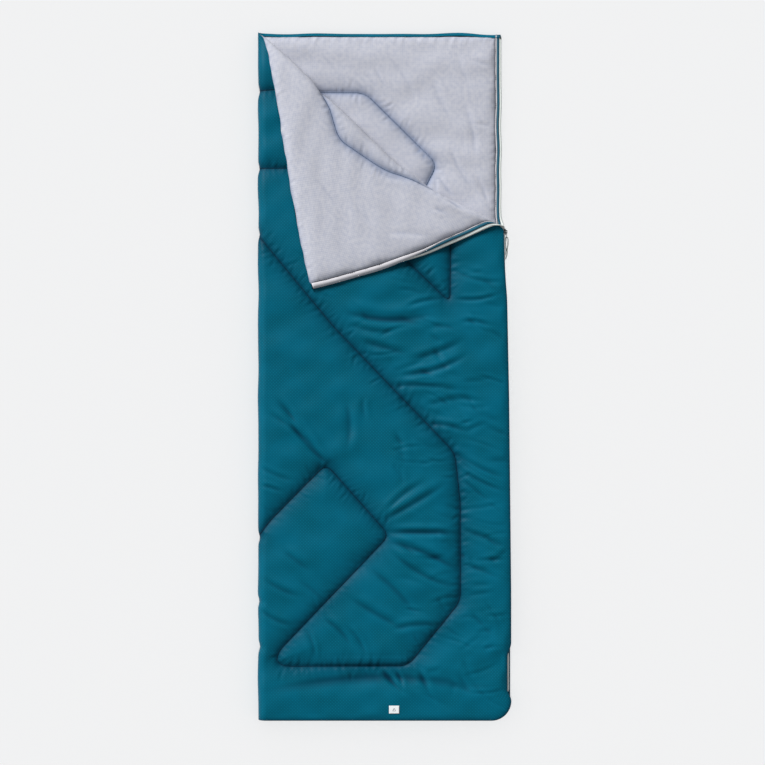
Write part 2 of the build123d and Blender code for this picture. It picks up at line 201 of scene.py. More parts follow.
route_mesh = bpy.data.meshes.new_from_object(route.evaluated_get(bpy.context.evaluated_depsgraph_get()))
cord_line = np.array([v.co[:] for v in route_mesh.vertices]) / MM
bpy.data.objects.remove(route)

# %% [markdown]
# ## Cloth finishes
# The shell is a plain polyester taffeta with a fine dobby: a semi-satin face with a faint diagonal
# crosshatch. The lining is brushed polyester, matt, soft and a little mottled. Both patterns are drawn from
# the flat cloth's own coordinates, so that the weave follows the cloth round every fold. The real threads are
# 0.3 mm apart, too fine to show from this height, so the weave is drawn at about ten times that.

# %% Cloth materials
def cloth_lines(tree, coordinates, angle, spacing):
    """Soft parallel lines across the cloth, spacing millimetres apart, turned by angle."""
    turned = add_node(tree, "ShaderNodeMapping", {"Vector": coordinates,
                                                  "Rotation": (0, 0, math.radians(angle))})
    scale = 1 / (spacing * MM) * 2 * math.pi / 20
    return add_node(tree, "ShaderNodeTexWave", {"Vector": turned.outputs["Vector"], "Scale": scale},
                    wave_type="BANDS", bands_direction="X").outputs["Fac"]


def cloth_noise(tree, coordinates, size, detail=3.0, stretch=(1, 1, 1)):
    """Soft random patches about size millimetres across."""
    mapped = add_node(tree, "ShaderNodeMapping", {"Vector": coordinates, "Scale": stretch})
    return add_node(tree, "ShaderNodeTexNoise", {"Vector": mapped.outputs["Vector"], "Scale": 1 / (size * MM),
                                                "Detail": detail}).outputs["Fac"]


def mixed(tree, factor, first, second, blend_type="MIX"):
    """A colour between two, by factor."""
    return add_node(tree, "ShaderNodeMixRGB", {"Fac": factor, "Color1": first, "Color2": second},
                    blend_type=blend_type).outputs["Color"]


def ramped(tree, factor, low, high):
    """Factor spread so that low becomes 0 and high becomes 1."""
    return add_node(tree, "ShaderNodeMapRange", {"Value": factor, "From Min": low,
                                                 "From Max": high}).outputs["Result"]


def woven_material(name, base, shade, light, spacing, angles, bump_mm, roughness, sheen, mottle_mm=None,
                   grey=0.5,
                   painted_shade=None):
    """Woven cloth: base colour with its threads' shade and light, a bump of the weave, soft mottling and a
    painted shade in seams and creases where a shade colour is given.
    """
    material, tree, shader = new_material(name, Roughness=roughness, Sheen_Weight=sheen, Sheen_Roughness=0.5,
                                          Specular_IOR_Level=grey)
    uv = add_node(tree, "ShaderNodeUVMap", uv_map="cloth").outputs["UV"]
    threads = [cloth_lines(tree, uv, angle, spacing) for angle in angles]
    weave = threads[0]
    if len(threads) > 1:
        weave = add_node(tree, "ShaderNodeMath", {0: threads[0], 1: threads[1]},
                         operation="MULTIPLY").outputs[0]
    patch = cloth_noise(tree, uv, mottle_mm or 60, 4.0)
    colour = mixed(tree, ramped(tree, patch, 0.35, 0.65), linear(shade), linear(base))
    colour = mixed(tree, ramped(tree, weave, 0.35, 1.0), colour, linear(light))
    # Painted shade: the node read here holds each point's painted shade amount, and the colour is darkened by
    # it towards the given shade colour in seams, creases and along hems.
    if painted_shade:
        depth = add_node(tree, "ShaderNodeAttribute", attribute_name="painted_shade", attribute_type="GEOMETRY")
        colour = mixed(tree, depth.outputs["Fac"], colour, linear(painted_shade))
    tree.links.new(colour, shader.inputs["Base Color"])
    height = add_node(tree, "ShaderNodeMath", {0: weave, 1: cloth_noise(tree, uv, 3 * spacing, 2.0)},
                      operation="ADD")
    bump = add_node(tree, "ShaderNodeBump", {"Height": height.outputs[0], "Distance": bump_mm * MM,
                                             "Strength": 0.6})
    tree.links.new(bump.outputs["Normal"], shader.inputs["Normal"])
    return material


# The last colour given to the shell and to the lining is a painted shade: dark teal and blue-grey laid into
# seams, creases and hems.
shell_taffeta = woven_material("shell_polyester_taffeta", "005c74", "005468", "006e86", 6.2, (45, -45), 0.35,
                               0.5, 0.0, mottle_mm=90, grey=0.07, painted_shade="002c40")
brushed_lining = woven_material("lining_brushed_polyester", "c0c1ca", "b2b5c2", "c8c8cf", 5.2, (0, 90), 0.3,
                                0.95, 0.1, mottle_mm=11, grey=0.1, painted_shade="7f8aa3")
zip_tape_twill = woven_material("zip_tape_polyester_twill", "dde1dd", "d3d9d5", "e6e9e6", 1.6, (30,), 0.1,
                                0.8, 0.1)
guard_tape_cloth = woven_material("guard_tape_taffeta", "045a73", "034c62", "0a6b80", 1.6, (45, -45), 0.08,
                                  0.55, 0.05)
binding_grosgrain = woven_material("binding_grosgrain", "d5d3d8", "c4c2c8", "e1dfe2", 1.2, (90,), 0.15, 0.8,
                                   0.1)
label_satin = woven_material("label_woven_satin", "f2f4f5", "e9ecee", "fafbfb", 0.9, (90,), 0.04, 0.45, 0.0)
wadding_fibre = woven_material("wadding_polyester_fibre", "eef0f0", "dfe3e4", "f7f8f8", 4.0, (20, 80), 0.6,
                               1.0, 0.3)


def thread_material(name, colour, dark):
    """Twisted sewing thread: two tones in a fine slanting twist, slightly glossy."""
    material, tree, shader = new_material(name, Roughness=0.6, Specular_IOR_Level=0.1)
    place = add_node(tree, "ShaderNodeTexCoord").outputs["Object"]
    twist = cloth_lines(tree, place, 35, 0.8)
    tree.links.new(mixed(tree, twist, linear(dark), linear(colour)), shader.inputs["Base Color"])
    bump = add_node(tree, "ShaderNodeBump", {"Height": twist, "Distance": 0.1 * MM})
    tree.links.new(bump.outputs["Normal"], shader.inputs["Normal"])
    return material


shell_thread = thread_material("thread_dark_teal", "032536", "01141f")
lining_thread = thread_material("thread_slate_blue", "1f4560", "12293d")
hem_thread = thread_material("thread_dark_brown", "4b4446", "2b2628")
label_thread = thread_material("thread_white", "e9ecec", "c9cfcf")


def moulded_material(name, colour, roughness, metallic=0.0, grit_mm=0.4):
    """A moulded or cast finish with a fine grain: nylon, or a zinc casting under lacquer."""
    material, tree, shader = new_material(name, Roughness=roughness, Metallic=metallic)
    place = add_node(tree, "ShaderNodeTexCoord").outputs["Object"]
    grain = cloth_noise(tree, place, grit_mm, 4.0)
    worn = mixed(tree, ramped(tree, grain, 0.3, 0.7), linear(colour), linear("8b8f90"), "SOFT_LIGHT")
    tree.links.new(worn, shader.inputs["Base Color"])
    tree.links.new(ramped(tree, grain, -1.2 * roughness, 2.2), shader.inputs["Roughness"])
    bump = add_node(tree, "ShaderNodeBump", {"Height": grain, "Distance": 0.02 * MM})
    tree.links.new(bump.outputs["Normal"], shader.inputs["Normal"])
    return material


nylon_coil = moulded_material("coil_moulded_nylon", "d9ded9", 0.35)
slider_zinc = moulded_material("slider_zinc_casting", "4a5152", 0.38, metallic=1.0)
pull_zinc = moulded_material("pull_zinc_casting", "565d5e", 0.34, metallic=1.0)
cord_braid = woven_material("cord_braided_polyester", "c8d0c8", "aab3ab", "dfe5df", 1.1, (40, -40), 0.15,
                            0.75, 0.1)
print(len(bpy.data.materials), "materials")


# %% [markdown]
# ## Small helpers for cloth
# Each layer of the bag is one sheet of cloth on a grid. The grid's own numbers are the flat cloth, and a few
# functions place it: the outline, the loft between the seams, and the fold.

# %% Helpers
def ease(x, low=0.0, high=1.0):
    """0 below low, 1 above high and smooth between."""
    share = np.clip((x - low) / (high - low), 0, 1)
    return share * share * (3 - 2 * share)


def smooth_line(x, at, values, blur=18):
    """A curve through a few points, with its corners rounded off."""
    fine = np.linspace(at[0], at[-1], 400)
    padded_line = np.pad(np.interp(fine, at, values), blur, mode="edge")
    kernel = np.hanning(2 * blur + 1)
    return np.interp(x, fine, np.convolve(padded_line, kernel / kernel.sum(), "valid"))


def mesh_object(name, points, faces, material, uv=None):
    """A smooth mesh object at the origin, from points in millimetres."""
    mesh = bpy.data.meshes.new(name)
    mesh.from_pydata((np.asarray(points) * MM).tolist(), [], np.asarray(faces).tolist())
    if uv is not None:
        loops = np.zeros(len(mesh.loops), np.int32)
        mesh.loops.foreach_get("vertex_index", loops)
        mesh.uv_layers.new(name="cloth").data.foreach_set("uv", (uv * MM)[loops].astype(np.float32).ravel())
    mesh.shade_smooth()
    mesh.materials.append(material)
    piece = bpy.data.objects.new(name, mesh)
    bpy.context.scene.collection.objects.link(piece)
    return piece


def paint_shade(piece, values):
    """Stores each point's painted shade, from 0 to 1, which grows the deeper in a seam or crease it lies, for
    the cloth's finish to read.
    """
    stored = piece.data.attributes.new("painted_shade", "FLOAT", "POINT")
    stored.data.foreach_set("value", np.clip(values, 0, 1).astype(np.float32).ravel())


def grid_faces(rows, columns, closed=False, flip=False):
    """Four-sided faces over a grid of points, joined round its columns where it is closed."""
    index = np.arange(rows * columns).reshape(rows, columns)
    if closed:
        index = np.concatenate([index, index[:, :1]], axis=1)
    quads = np.stack([index[:-1, :-1], index[:-1, 1:], index[1:, 1:], index[1:, :-1]], -1).reshape(-1, 4)
    return quads[:, ::-1] if flip else quads


def rounded(corners, radius):
    """A path through corners, each one turned on an arc of about radius."""
    points = [np.array(corner, float) for corner in corners]
    path = [points[0]]
    for before, at, after in zip(points, points[1:], points[2:]):
        start = at + (before - at) * min(radius / np.linalg.norm(before - at), 0.45)
        end = at + (after - at) * min(radius / np.linalg.norm(after - at), 0.45)
        path += [(1 - s) ** 2 * start + 2 * s * (1 - s) * at + s * s * end for s in np.linspace(0, 1, 7)]
    return np.array(path + [points[-1]])


def nearest_on(path, x, y):
    """Each point's distance to a path, and how far along the path its nearest point lies."""
    best, along, run = np.full(x.shape, 1e9), np.zeros(x.shape), 0.0
    for (x0, y0), (x1, y1) in zip(path, path[1:]):
        length = math.hypot(x1 - x0, y1 - y0)
        share = np.clip(((x - x0) * (x1 - x0) + (y - y0) * (y1 - y0)) / max(length, 1e-6) ** 2, 0, 1)
        distance = np.hypot(x - x0 - share * (x1 - x0), y - y0 - share * (y1 - y0))
        along = np.where(distance < best, run + share * length, along)
        best, run = np.minimum(best, distance), run + length
    return best, along


def wander(x, wavelength, seed):
    """A smooth random line, about -1 to 1, with hills about wavelength long."""
    rng = np.random.default_rng(seed)
    total = np.zeros(np.shape(x))
    for _ in range(7):
        length, phase = wavelength * rng.uniform(0.6, 1.9), rng.uniform(0, 2 * math.pi)
        total += np.sin(2 * math.pi * np.asarray(x) / length + phase) / 7 ** 0.5
    return total


# %% [markdown]
# ## The outline and the zip's line
# The zip pulls the panels in where it is open, so the visible right edge bows in from the foot to the slider.
# Where it is shut, both tapes meet under the overhanging edge, and where it is open each tape lies out flat
# beside the lining. One function gives how open it is, and the others give each line's place along the side.

# %% Outline
EDGE_FROM_FOOT = [0, 350, 610, 890, 1165, 1215, 1275, 1345, 1390, 1903]
EDGE_INSET = [0.4, 0.4, 3.0, 6.0, 11.5, 15.5, 18.5, 19.5, 24.5, 25.4]
OPEN_SEAM_INSET = 41.0
SHELL_LIP = RIGHT - SEAM_X


def open_share(y):
    """0 where the zip is shut and 1 where it is open."""
    return ease(y, SLIDER_Y + 4, SLIDER_Y + 46)


def edge_inset(y):
    """How far the visible edge lies inside the bag's full width."""
    return smooth_line(y - FOOT, EDGE_FROM_FOOT, EDGE_INSET, blur=5)


def seam_inset(y):
    """How far the seam between shell, tape and lining lies inside the bag's full width."""
    return SHELL_LIP + (OPEN_SEAM_INSET - SHELL_LIP) * open_share(y)


def zip_peek(y):
    """Where the shut zip shows from above, low on the right side: 1 in the middle of that stretch."""
    return ease(y, FOOT + 56, FOOT + 88) * (1 - ease(y, FOOT + 175, FOOT + 215))


def zip_side_point(distance, inset):
    """A plan point on the zip's path, distance along it from the head, inset inside the full outline."""
    straight = HEAD - FOOT - CORNER_RADIUS
    arc = CORNER_RADIUS * math.pi / 2
    turn = np.clip((distance - straight) / CORNER_RADIUS, 0, math.pi / 2)
    x = RIGHT - CORNER_RADIUS + np.cos(turn) * (CORNER_RADIUS - inset) - np.maximum(distance - straight
        - arc, 0)
    y = HEAD - np.minimum(distance, straight) - np.sin(turn) * (CORNER_RADIUS - inset)
    return x, y


ZIP_PATH_LENGTH = (HEAD - FOOT - CORNER_RADIUS) + CORNER_RADIUS * math.pi / 2 + (RIGHT - CORNER_RADIUS - LEFT)

# %% [markdown]
# ## Quilting and loft
# Rows of stitches pull shell, wadding and lining together, so the cloth dips to the panel's middle at each
# seam and rises in a soft curve beside it. The height of every layer is this one profile, times how near an
# edge is.

# %% Quilting
MAIN_LOOP = [(-352, 392), (-139, 134), (194, -212), (209, -350), (209, -622), (64, -800), (-278, -802),
             (-300, -786), (-290, -757),
             (13, -440), (-162, -243), (-318, -401), (-352, -448)]
COVER_HEAD_LOOP = [(-352, 788), (-150, 801), (-28, 777), (183, 485), (181, 203), (-207, 574), (-352, 574)]
LOWER_HEAD_LOOP = [(-352, 788), (-54, 786), (146, 588), (40, 380), (-207, 574), (-352, 574)]
QUILT_CORNER = 26.0
main_path = rounded(MAIN_LOOP, QUILT_CORNER)
cover_paths = [main_path, rounded(COVER_HEAD_LOOP, QUILT_CORNER)]
lower_paths = [main_path, rounded(LOWER_HEAD_LOOP, QUILT_CORNER)]
LEFT_NOTCHES = (788, 574, 392, -448, -624, -750)


def puff(distance, width, seam):
    """The loft's rise from a seam, where it is the share seam, to 1."""
    return seam + (1 - seam) * (1 - np.exp(-(np.maximum(distance, 0) / width) ** 0.85))


def quilt_field(paths, x, y):
    """Distance to the nearest quilting seam, and a number that runs along it."""
    fields = [nearest_on(path, x, y) for path in paths]
    distance = np.minimum(fields[0][0], fields[1][0])
    along = np.where(fields[0][0] < fields[1][0], fields[0][1], fields[1][1] + 9000)
    return distance, along


def place_grid(p, q, border):
    """Where a cloth grid lies in plan. p and q are flat cloth, and run past the outline where it turns under.
    Returns x, y, and how far each point is inside the border, which is negative where it has turned under."""
    corner = CORNER_RADIUS - border
    centre_x, centre_y = RIGHT - CORNER_RADIUS, FOOT + CORNER_RADIUS
    right, foot = RIGHT - border, FOOT + border
    across, down = p - centre_x, centre_y - q
    in_corner = (across > 0) & (down > 0)
    reach = np.maximum(across, down)
    size = np.maximum(np.hypot(across, down), 1e-9)
    inside = np.where(in_corner, corner - reach, np.minimum(right - p, q - foot))
    turned = np.maximum(-inside, 0)
    radius = np.where(reach > corner, 2 * corner - reach, reach)
    x = np.where(in_corner, centre_x + across / size * radius, np.where(p > right, right - turned, p))
    y = np.where(in_corner, centre_y - down / size * radius, np.where(q < foot, foot + turned, q))
    return x, y, inside


# %% [markdown]
# ## Cloth by simulation
# Wadding holds the cloth up, and the cloth is a little longer than what it covers, so it wrinkles. Each
# visible layer is simulated flat: its seams and edges are pinned, everything else is held softly at its
# lofted height, and the threads grow by a few percent. The result is kept as a small shift for each point,
# limited so that no fold passes through the layer beneath, and read back onto a finer grid.

# %% Simulation
SIM_STEP = 8.0
SIM_FRAMES = 18


def simulate_slack(name, height, slack, seed, pin_distance):
    """Lets a flat lofted sheet grow by up to slack between its seams. Returns its flat axes and its shifts.
    height and slack are functions of x and y. pin_distance gives a point's distance to what holds it."""
    xs = np.linspace(LEFT, RIGHT, int((RIGHT - LEFT) / SIM_STEP) + 1)
    ys = np.linspace(FOOT, HEAD, int((HEAD - FOOT) / SIM_STEP) + 1)
    x, y = np.meshgrid(xs, ys)
    rng = np.random.default_rng(seed)
    start = height(x, y) + 1.2 * sum(
        np.sin(2 * math.pi * (x * math.cos(a) + y * math.sin(a)) / wave + phase)
        for wave, a, phase in zip(rng.uniform(60, 170, 40), rng.uniform(0.7, 2.3, 40),
                                  rng.uniform(0, 7, 40))) / 6
    points = np.stack([x, y, start], -1).reshape(-1, 3)
    sheet = mesh_object(name, points, grid_faces(len(ys), len(xs)), wadding_fibre)
    held = pin_distance(x, y).ravel()
    pins, growth = sheet.vertex_groups.new(name="pins"), sheet.vertex_groups.new(name="growth")
    for weight, chosen in ((1.0, held < 5), (0.4, (held >= 5) & (held < 11)), (0.04, held >= 11)):
        pins.add(np.flatnonzero(chosen).tolist(), weight, "REPLACE")
    for level in range(11):
        chosen = np.round(slack(x, y).ravel() * 10) == level
        growth.add(np.flatnonzero(chosen).tolist(), level / 10, "REPLACE")
    cloth = sheet.modifiers.new("cloth", "CLOTH")
    settings = cloth.settings
    settings.quality, settings.mass, settings.air_damping = 5, 0.1, 2
    settings.tension_stiffness = settings.compression_stiffness = 20
    settings.shear_stiffness, settings.bending_stiffness = 10, 1.2
    settings.vertex_group_mass, settings.pin_stiffness = "pins", 1
    settings.vertex_group_shrink, settings.shrink_min, settings.shrink_max = "growth", 0.0, -0.07
    settings.effector_weights.gravity = 0
    cloth.collision_settings.use_collision = cloth.collision_settings.use_self_collision = False
    cloth.point_cache.frame_start, cloth.point_cache.frame_end = 1, SIM_FRAMES
    for number in range(1, SIM_FRAMES + 1):
        bpy.context.scene.frame_set(number)
    result = sheet.evaluated_get(bpy.context.evaluated_depsgraph_get())
    moved = np.zeros(len(points) * 3, np.float32)
    result.data.vertices.foreach_get("co", moved)
    shift = (moved.reshape(-1, 3) / MM - points + [0, 0, 1] * (start.ravel() - height(x, y).ravel())[:, None])
    bpy.data.objects.remove(sheet)
    print(name, "moved", np.abs(shift).max(0).round(1), "mm at most, rms", shift.std(0).round(2))
    return xs, ys, shift.reshape(len(ys), len(xs), 3)


def read_shift(simulated, x, y, most):
    """The simulated shift at any points, smooth between the grid's, and never more than most millimetres."""
    xs, ys, shift = simulated

    def weights(t):
        return [0.5 * (-t + 2 * t ** 2 - t ** 3), 0.5 * (2 - 5 * t ** 2 + 3 * t ** 3),
                0.5 * (t + 4 * t ** 2 - 3 * t ** 3), 0.5 * (t ** 3 - t ** 2)]

    u = np.clip((x - xs[0]) / (xs[1] - xs[0]), 0, len(xs) - 1.001)
    v = np.clip((y - ys[0]) / (ys[1] - ys[0]), 0, len(ys) - 1.001)
    column, row = u.astype(int), v.astype(int)
    total = np.zeros(x.shape + (3,))
    for i, weight_u in enumerate(weights(u - column)):
        for j, weight_v in enumerate(weights(v - row)):
            rows, columns = np.clip(row + j - 1, 0, len(ys) - 1), np.clip(column + i - 1, 0, len(xs) - 1)
            total += (weight_u * weight_v)[..., None] * shift[rows, columns]
    return most * np.tanh(total / most)


# %% [markdown]
# ## The fold
# The cover's head corner is rolled over and lies on the cover with its lining up. The roll's outside is the
# lining, so the lining keeps its length round it and the shell inside is squeezed. The map below takes any
# point of the shut cover, at its own height, to where it lies folded, so shell, lining, zip and stitches all
# fold together. A last small move lays the loose corner and its two edges where a hand would drop them.

# %% Fold map
FOLD_SHARES = [0.0, 0.2, 0.4, 0.6, 0.8, 0.93, 1.0]
FOLD_OFFSETS = [3.0, -11.0, -30.0, -48.0, -34.0, -10.0, 5.0]
TIP_PLACE = np.array([-201.0, 238.0])
EDGE_BOW = 9.0
# The roll is tighter near the head corner and near the zip: by how much, and over what length.
ROLL_RADIUS, TIGHTEST_ROLL = 25.2, 7.0
(HEAD_PINCH, HEAD_PINCH_LENGTH), (ZIP_PINCH, ZIP_PINCH_LENGTH) = (19, 75), (17, 60)


def fold_lines(t):
    """The roll's radius and where it starts, at distance t along the fold."""
    radius = (ROLL_RADIUS - HEAD_PINCH * np.exp(-np.maximum(t, 0) / HEAD_PINCH_LENGTH)
              - ZIP_PINCH * np.exp(-np.maximum(FOLD_LENGTH - t, 0) / ZIP_PINCH_LENGTH))
    radius = np.maximum(radius, TIGHTEST_ROLL)
    visible = smooth_line(t / FOLD_LENGTH, FOLD_SHARES, FOLD_OFFSETS, blur=30)
    return radius, visible - radius


def hem_height(x, y):
    """How far the shell's top has come down near the bag's edges, as a share of the half loft."""
    inside = np.minimum(np.minimum(RIGHT - edge_inset(y) - x, HEAD - y), x - LEFT)
    return puff(inside, 10, 0.25)


def folded(points):
    """Points of the shut cover, folded. Also gives how far round the roll each is, from 0 to 1."""
    x, y, z = (points[..., i] for i in range(3))
    lining_z, shell_z = TOP_Z - LINING_TOP, TOP_Z
    t = (x - fold_start[0]) * fold_along[0] + (y - fold_start[1]) * fold_along[1]
    s = (x - fold_start[0]) * fold_across[0] + (y - fold_start[1]) * fold_across[1]
    radius, roll_start = fold_lines(t)
    squeeze = np.minimum(1, (radius - 0.5) / (shell_z - lining_z))
    angle = np.clip((s - roll_start) / radius, 0, math.pi)
    inner = np.maximum(radius - (z - lining_z) * squeeze, 0.4)
    before = ease(s, roll_start - 80, roll_start)
    on_cover = (1 - before) * z + before * (lining_z + (z - lining_z) * squeeze)
    rolled_z = lining_z + radius - inner * np.cos(angle)
    past = s - roll_start - math.pi * radius
    droop = 0.85 * HALF_LOFT * (1 - hem_height(x, y))
    lying = shell_z + 1.0 - droop + (shell_z - z)
    after = ease(past, 0, 90)
    on_flap = (1 - after) * rolled_z + after * lying
    new_s = np.where(s < roll_start, s, np.where(past > 0, roll_start - past,
                                                 roll_start + inner * np.sin(angle)))
    new_z = np.where(s < roll_start, on_cover, np.where(past > 0, on_flap, rolled_z))
    new = np.stack([fold_start[0] + t * fold_along[0] + new_s * fold_across[0],
                    fold_start[1] + t * fold_along[1] + new_s * fold_across[1], new_z], -1)
    return lay_corner(new, t, past), angle / math.pi


def lay_corner(new, t, past):
    """Moves the flap so that its corner lands in its place and its edges bow a little."""
    corner = np.array([RIGHT - edge_inset(HEAD), HEAD]) - fold_start[:2]
    corner_t, corner_s = corner @ fold_along[:2], corner @ fold_across[:2]
    radius, roll_start = fold_lines(np.array(corner_t))
    corner_past = corner_s - roll_start - math.pi * radius
    landed = fold_start[:2] + corner_t * fold_along[:2] + (roll_start - corner_past) * fold_across[:2]
    tip = np.clip(past / corner_past, 0, 1.05)
    zip_end = np.clip((t - tip * corner_t) / FOLD_LENGTH, 0, 1)
    fold_end = np.clip(1 - tip - zip_end, 0, 1)
    head_out = np.array([-0.98, -0.2])
    zip_out = np.array([0.32, -0.947])
    move = tip[..., None] * (TIP_PLACE - landed) + 4 * EDGE_BOW * (
        (tip * fold_end)[..., None] * head_out + (tip * zip_end)[..., None] * zip_out)
    new[..., :2] += np.where(past > 0, 1.0, 0.0)[..., None] * move
    return new


# %% [markdown]
# ## The sheets of cloth
# A sheet's grid runs past the outline where the cloth turns under, to the seam that joins it to the zip's
# tape. It is spaced more closely near the edges, where it bends most.

# %% Grid axes
def spaced_axis(start, end, step, fine_start, fine_end):
    """Numbers from start to end, step apart, with finer ones near each end where that is asked."""
    fine = [0, 1, 2.2, 3.8, 6, 9, 13]
    body = np.linspace(start + 13 * fine_start, end - 13 * fine_end, int((end - start) / step))
    low = [start + f for f in fine[:-1]] if fine_start else []
    high = [end - f for f in fine[:-1][::-1]] if fine_end else []
    return np.concatenate([low, body, high])


TURN_UNDER = np.array([0.8, 2.2, 5.0, 10.0, 17.0, 25.0, 33.0])
SHEET_STEP = 4.1


def squeezed(x, y, inside, border, edge):
    """Draws the right side in to its visible edge, over the last part of the width."""
    side = (y > FOOT + CORNER_RADIUS)
    lip = edge(y) - border
    seam = seam_inset(y) - border
    share = ease(x, RIGHT - 190, RIGHT - border)
    turned = np.maximum(-inside, 0) / max(SHELL_LIP - border, 1e-6)
    drawn_in = np.where(inside >= 0, lip * share, 0)
    under = RIGHT - border - (lip + turned * (seam - lip))
    return np.where(side & (inside < 0), under, x - np.where(side, drawn_in, 0))


def notched(x, y):
    """The left side's small pulls, where quilting seams end in it."""
    pull = sum(np.exp(-((y - notch) / 13) ** 2) for notch in LEFT_NOTCHES)
    wave = 0.9 * wander(y, 170, 5)
    return x + (4.5 * pull + wave) * (1 - ease(x, LEFT + 5, LEFT + 70))


def pucker(distance, along, reach, wavelength, amount, seed):
    """Small gathers that run out from a seam."""
    return amount * np.exp(-distance / reach) * wander(along + 0.35 * distance, wavelength,
        seed) * ease(distance, 0, 5)


def add_crease(total, x, y, line, depth, width):
    """Adds one long fold: a sharp valley along a line, with a softer ridge beside it, fading at both ends."""
    x0, y0, x1, y1 = line
    reach = 5 * width
    near = ((x > min(x0, x1) - reach) & (x < max(x0, x1) + reach)
            & (y > min(y0, y1) - reach) & (y < max(y0, y1) + reach))
    x, y = x[near], y[near]
    length = math.hypot(x1 - x0, y1 - y0)
    along = ((x - x0) * (x1 - x0) + (y - y0) * (y1 - y0)) / length ** 2
    off = ((y - y0) * (x1 - x0) - (x - x0) * (y1 - y0)) / length * (1 if x1 > x0 else -1)
    off = off + 0.07 * length * np.sin(math.pi * np.clip(along, 0, 1)) * math.sin(x0 + y1)
    fade = ease(along, -0.08, 0.3) * (1 - ease(along, 0.6, 1.12))
    valley = np.exp(-(np.abs(off) / width) ** 1.4)
    ridge = np.exp(-((off - 1.8 * width) / (1.2 * width)) ** 2)
    low_ridge = np.exp(-((off + 1.9 * width) / (1.4 * width)) ** 2)
    total[near] += depth * fade * (0.7 * ridge + 0.35 * low_ridge - valley)


def loose_creases(total, x, y, seed):
    """Adds small creases that run across the cover's looser side, from the quilting towards the zip."""
    rng = np.random.default_rng(seed)
    for _ in range(120):
        at_y = rng.uniform(FOOT + 60, SLIDER_Y - 40)
        at_x = rng.uniform(-8 - 0.97 * at_y if at_y > -150 else 10, RIGHT - 60)
        way, size = math.radians(rng.normal(-16, 24)), rng.uniform(30, 110)
        end = (at_x + size * math.cos(way), at_y + size * math.sin(way))
        add_crease(total, x, y, (at_x, at_y, *end), rng.uniform(0.7, 2.0), rng.uniform(4, 8))


def seam_gathers(total, x, y, paths, spacing, seed):
    """Adds short creases of many lengths that run out from both sides of the quilting."""
    rng = np.random.default_rng(seed)
    for path in paths:
        run = np.concatenate([[0], np.cumsum(np.linalg.norm(np.diff(path, axis=0), axis=1))])
        for at in np.arange(10, run[-1] - 10, spacing) + rng.uniform(-4, 4,
            len(np.arange(10, run[-1] - 10, spacing))):
            start = np.array([np.interp(at, run, path[:, i]) for i in (0, 1)])
            ahead = np.array([np.interp(at + 4, run, path[:, i]) for i in (0, 1)]) - start
            way = math.atan2(ahead[1], ahead[0]) + rng.choice([-1, 1]) * math.pi / 2 + rng.normal(0, 0.35)
            size = 12 + 34 * rng.random() ** 2.2
            begin = start + 3 * np.array([math.cos(way), math.sin(way)])
            end = start + size * np.array([math.cos(way), math.sin(way)])
            add_crease(total, x, y, (*begin, *end), rng.uniform(0.7, 1.5), rng.uniform(3.2, 4.6))


COVER_CREASES = [
    ((-110, 176, 130, 168), 3.6, 17), ((-95, 142, 40, 122), 2.6, 11), ((-62, 96, 60, 62), 2.4, 10),
    ((40, 2, 225, 56), 2.8, 9), ((70, 44, 215, 96), 2.0, 10), ((5, -30, 225, -45), 2.2, 9),
    ((108, -84, 260, -66), 1.6, 10), ((110, -132, 235, -156), 2.4, 8), ((190, 290, 340, 258), 1.8, 7),
    ((190, 214, 318, 226), 2.0, 6), ((208, 150, 300, 136), 1.8, 7), ((60, 190, 160, 214), 1.8, 7),
    ((182, -206, 330, -282), 2.4, 8), ((200, -228, 320, -300), 2.0, 6), ((214, -262, 330, -318), 2.4, 7),
    ((216, -285, 290, -345), 2.0, 6), ((224, -428, 340, -476), 2.2, 8), ((218, -520, 320, -560), 1.4, 7),
    ((-296, -64, -168, -232), 3.0, 11), ((-270, -108, -142, -250), 2.6, 9),
    ((-318, -100, -190, -200), 2.2, 9),
    ((-105, -70, -104, -205), 1.6, 13), ((-60, -60, -52, -120), 1.2, 8), ((30, -150, 55, -240), 1.2, 11),
    ((10, -432, 205, -434), 3.4, 9), ((12, -456, 204, -536), 3.4, 11), ((20, -484, 200, -584), 2.4, 9),
    ((-14, -404, 165, -300), 2.2, 10), ((0, -380, 110, -290), 1.6, 9), ((-40, -530, 90, -660), 2.0, 13),
    ((-95, -612, 60, -700), 2.2, 11), ((20, -698, 170, -694), 1.8, 9), ((-168, -668, -90, -745), 2.2, 9),
    ((-105, -690, -50, -770), 1.8, 7), ((-215, -700, -190, -780), 1.4, 7), ((-10, -804, 62, -880), 2.4, 8),
    ((28, -810, 52, -866), 1.6, 6), ((92, -800, 140, -900), 1.8, 9), ((-330, -560, -230, -610), 1.8, 9),
    ((-345, -640, -250, -690), 1.8, 8), ((-340, -300, -280, -320), 1.8, 6),
    ((-344, -250, -250, -290), 1.4, 7),
    ((-335, -868, 320, -866), 2.6, 22), ((-280, -480, -200, -540), 1.6, 11),
    ((-240, -560, -150, -630), 1.2, 12), ((236, -650, 300, -720), 1.6, 9),
]


def shell_height(x, y, inside, paths, seed):
    """A shell's height above its panel's middle, outwards."""
    quilt, along = quilt_field(paths, x, y)
    rise = 1.12 * puff(quilt, 24, 0.06) * puff(inside, 9, 0.42) * puff(HEAD - y, 10, 0.16)
    gathers = pucker(quilt, along, 16, 15, 1.1, seed) + pucker(inside, y + x, 9, 13, 1.0, seed + 1)
    return HALF_LOFT * rise + gathers


def closed_side(x, z):
    """Brings a layer down, or up, to the side seam that both panels share on the left."""
    round_off = np.sqrt(np.clip(1 - (1 - np.clip((x - LEFT) / 24, 0, 1)) ** 2, 0, 1))
    return MIDDLE_Z + (z - MIDDLE_Z) * round_off


LOWER_MIDDLE, COVER_MIDDLE = HALF_LOFT, TOP_Z - HALF_LOFT


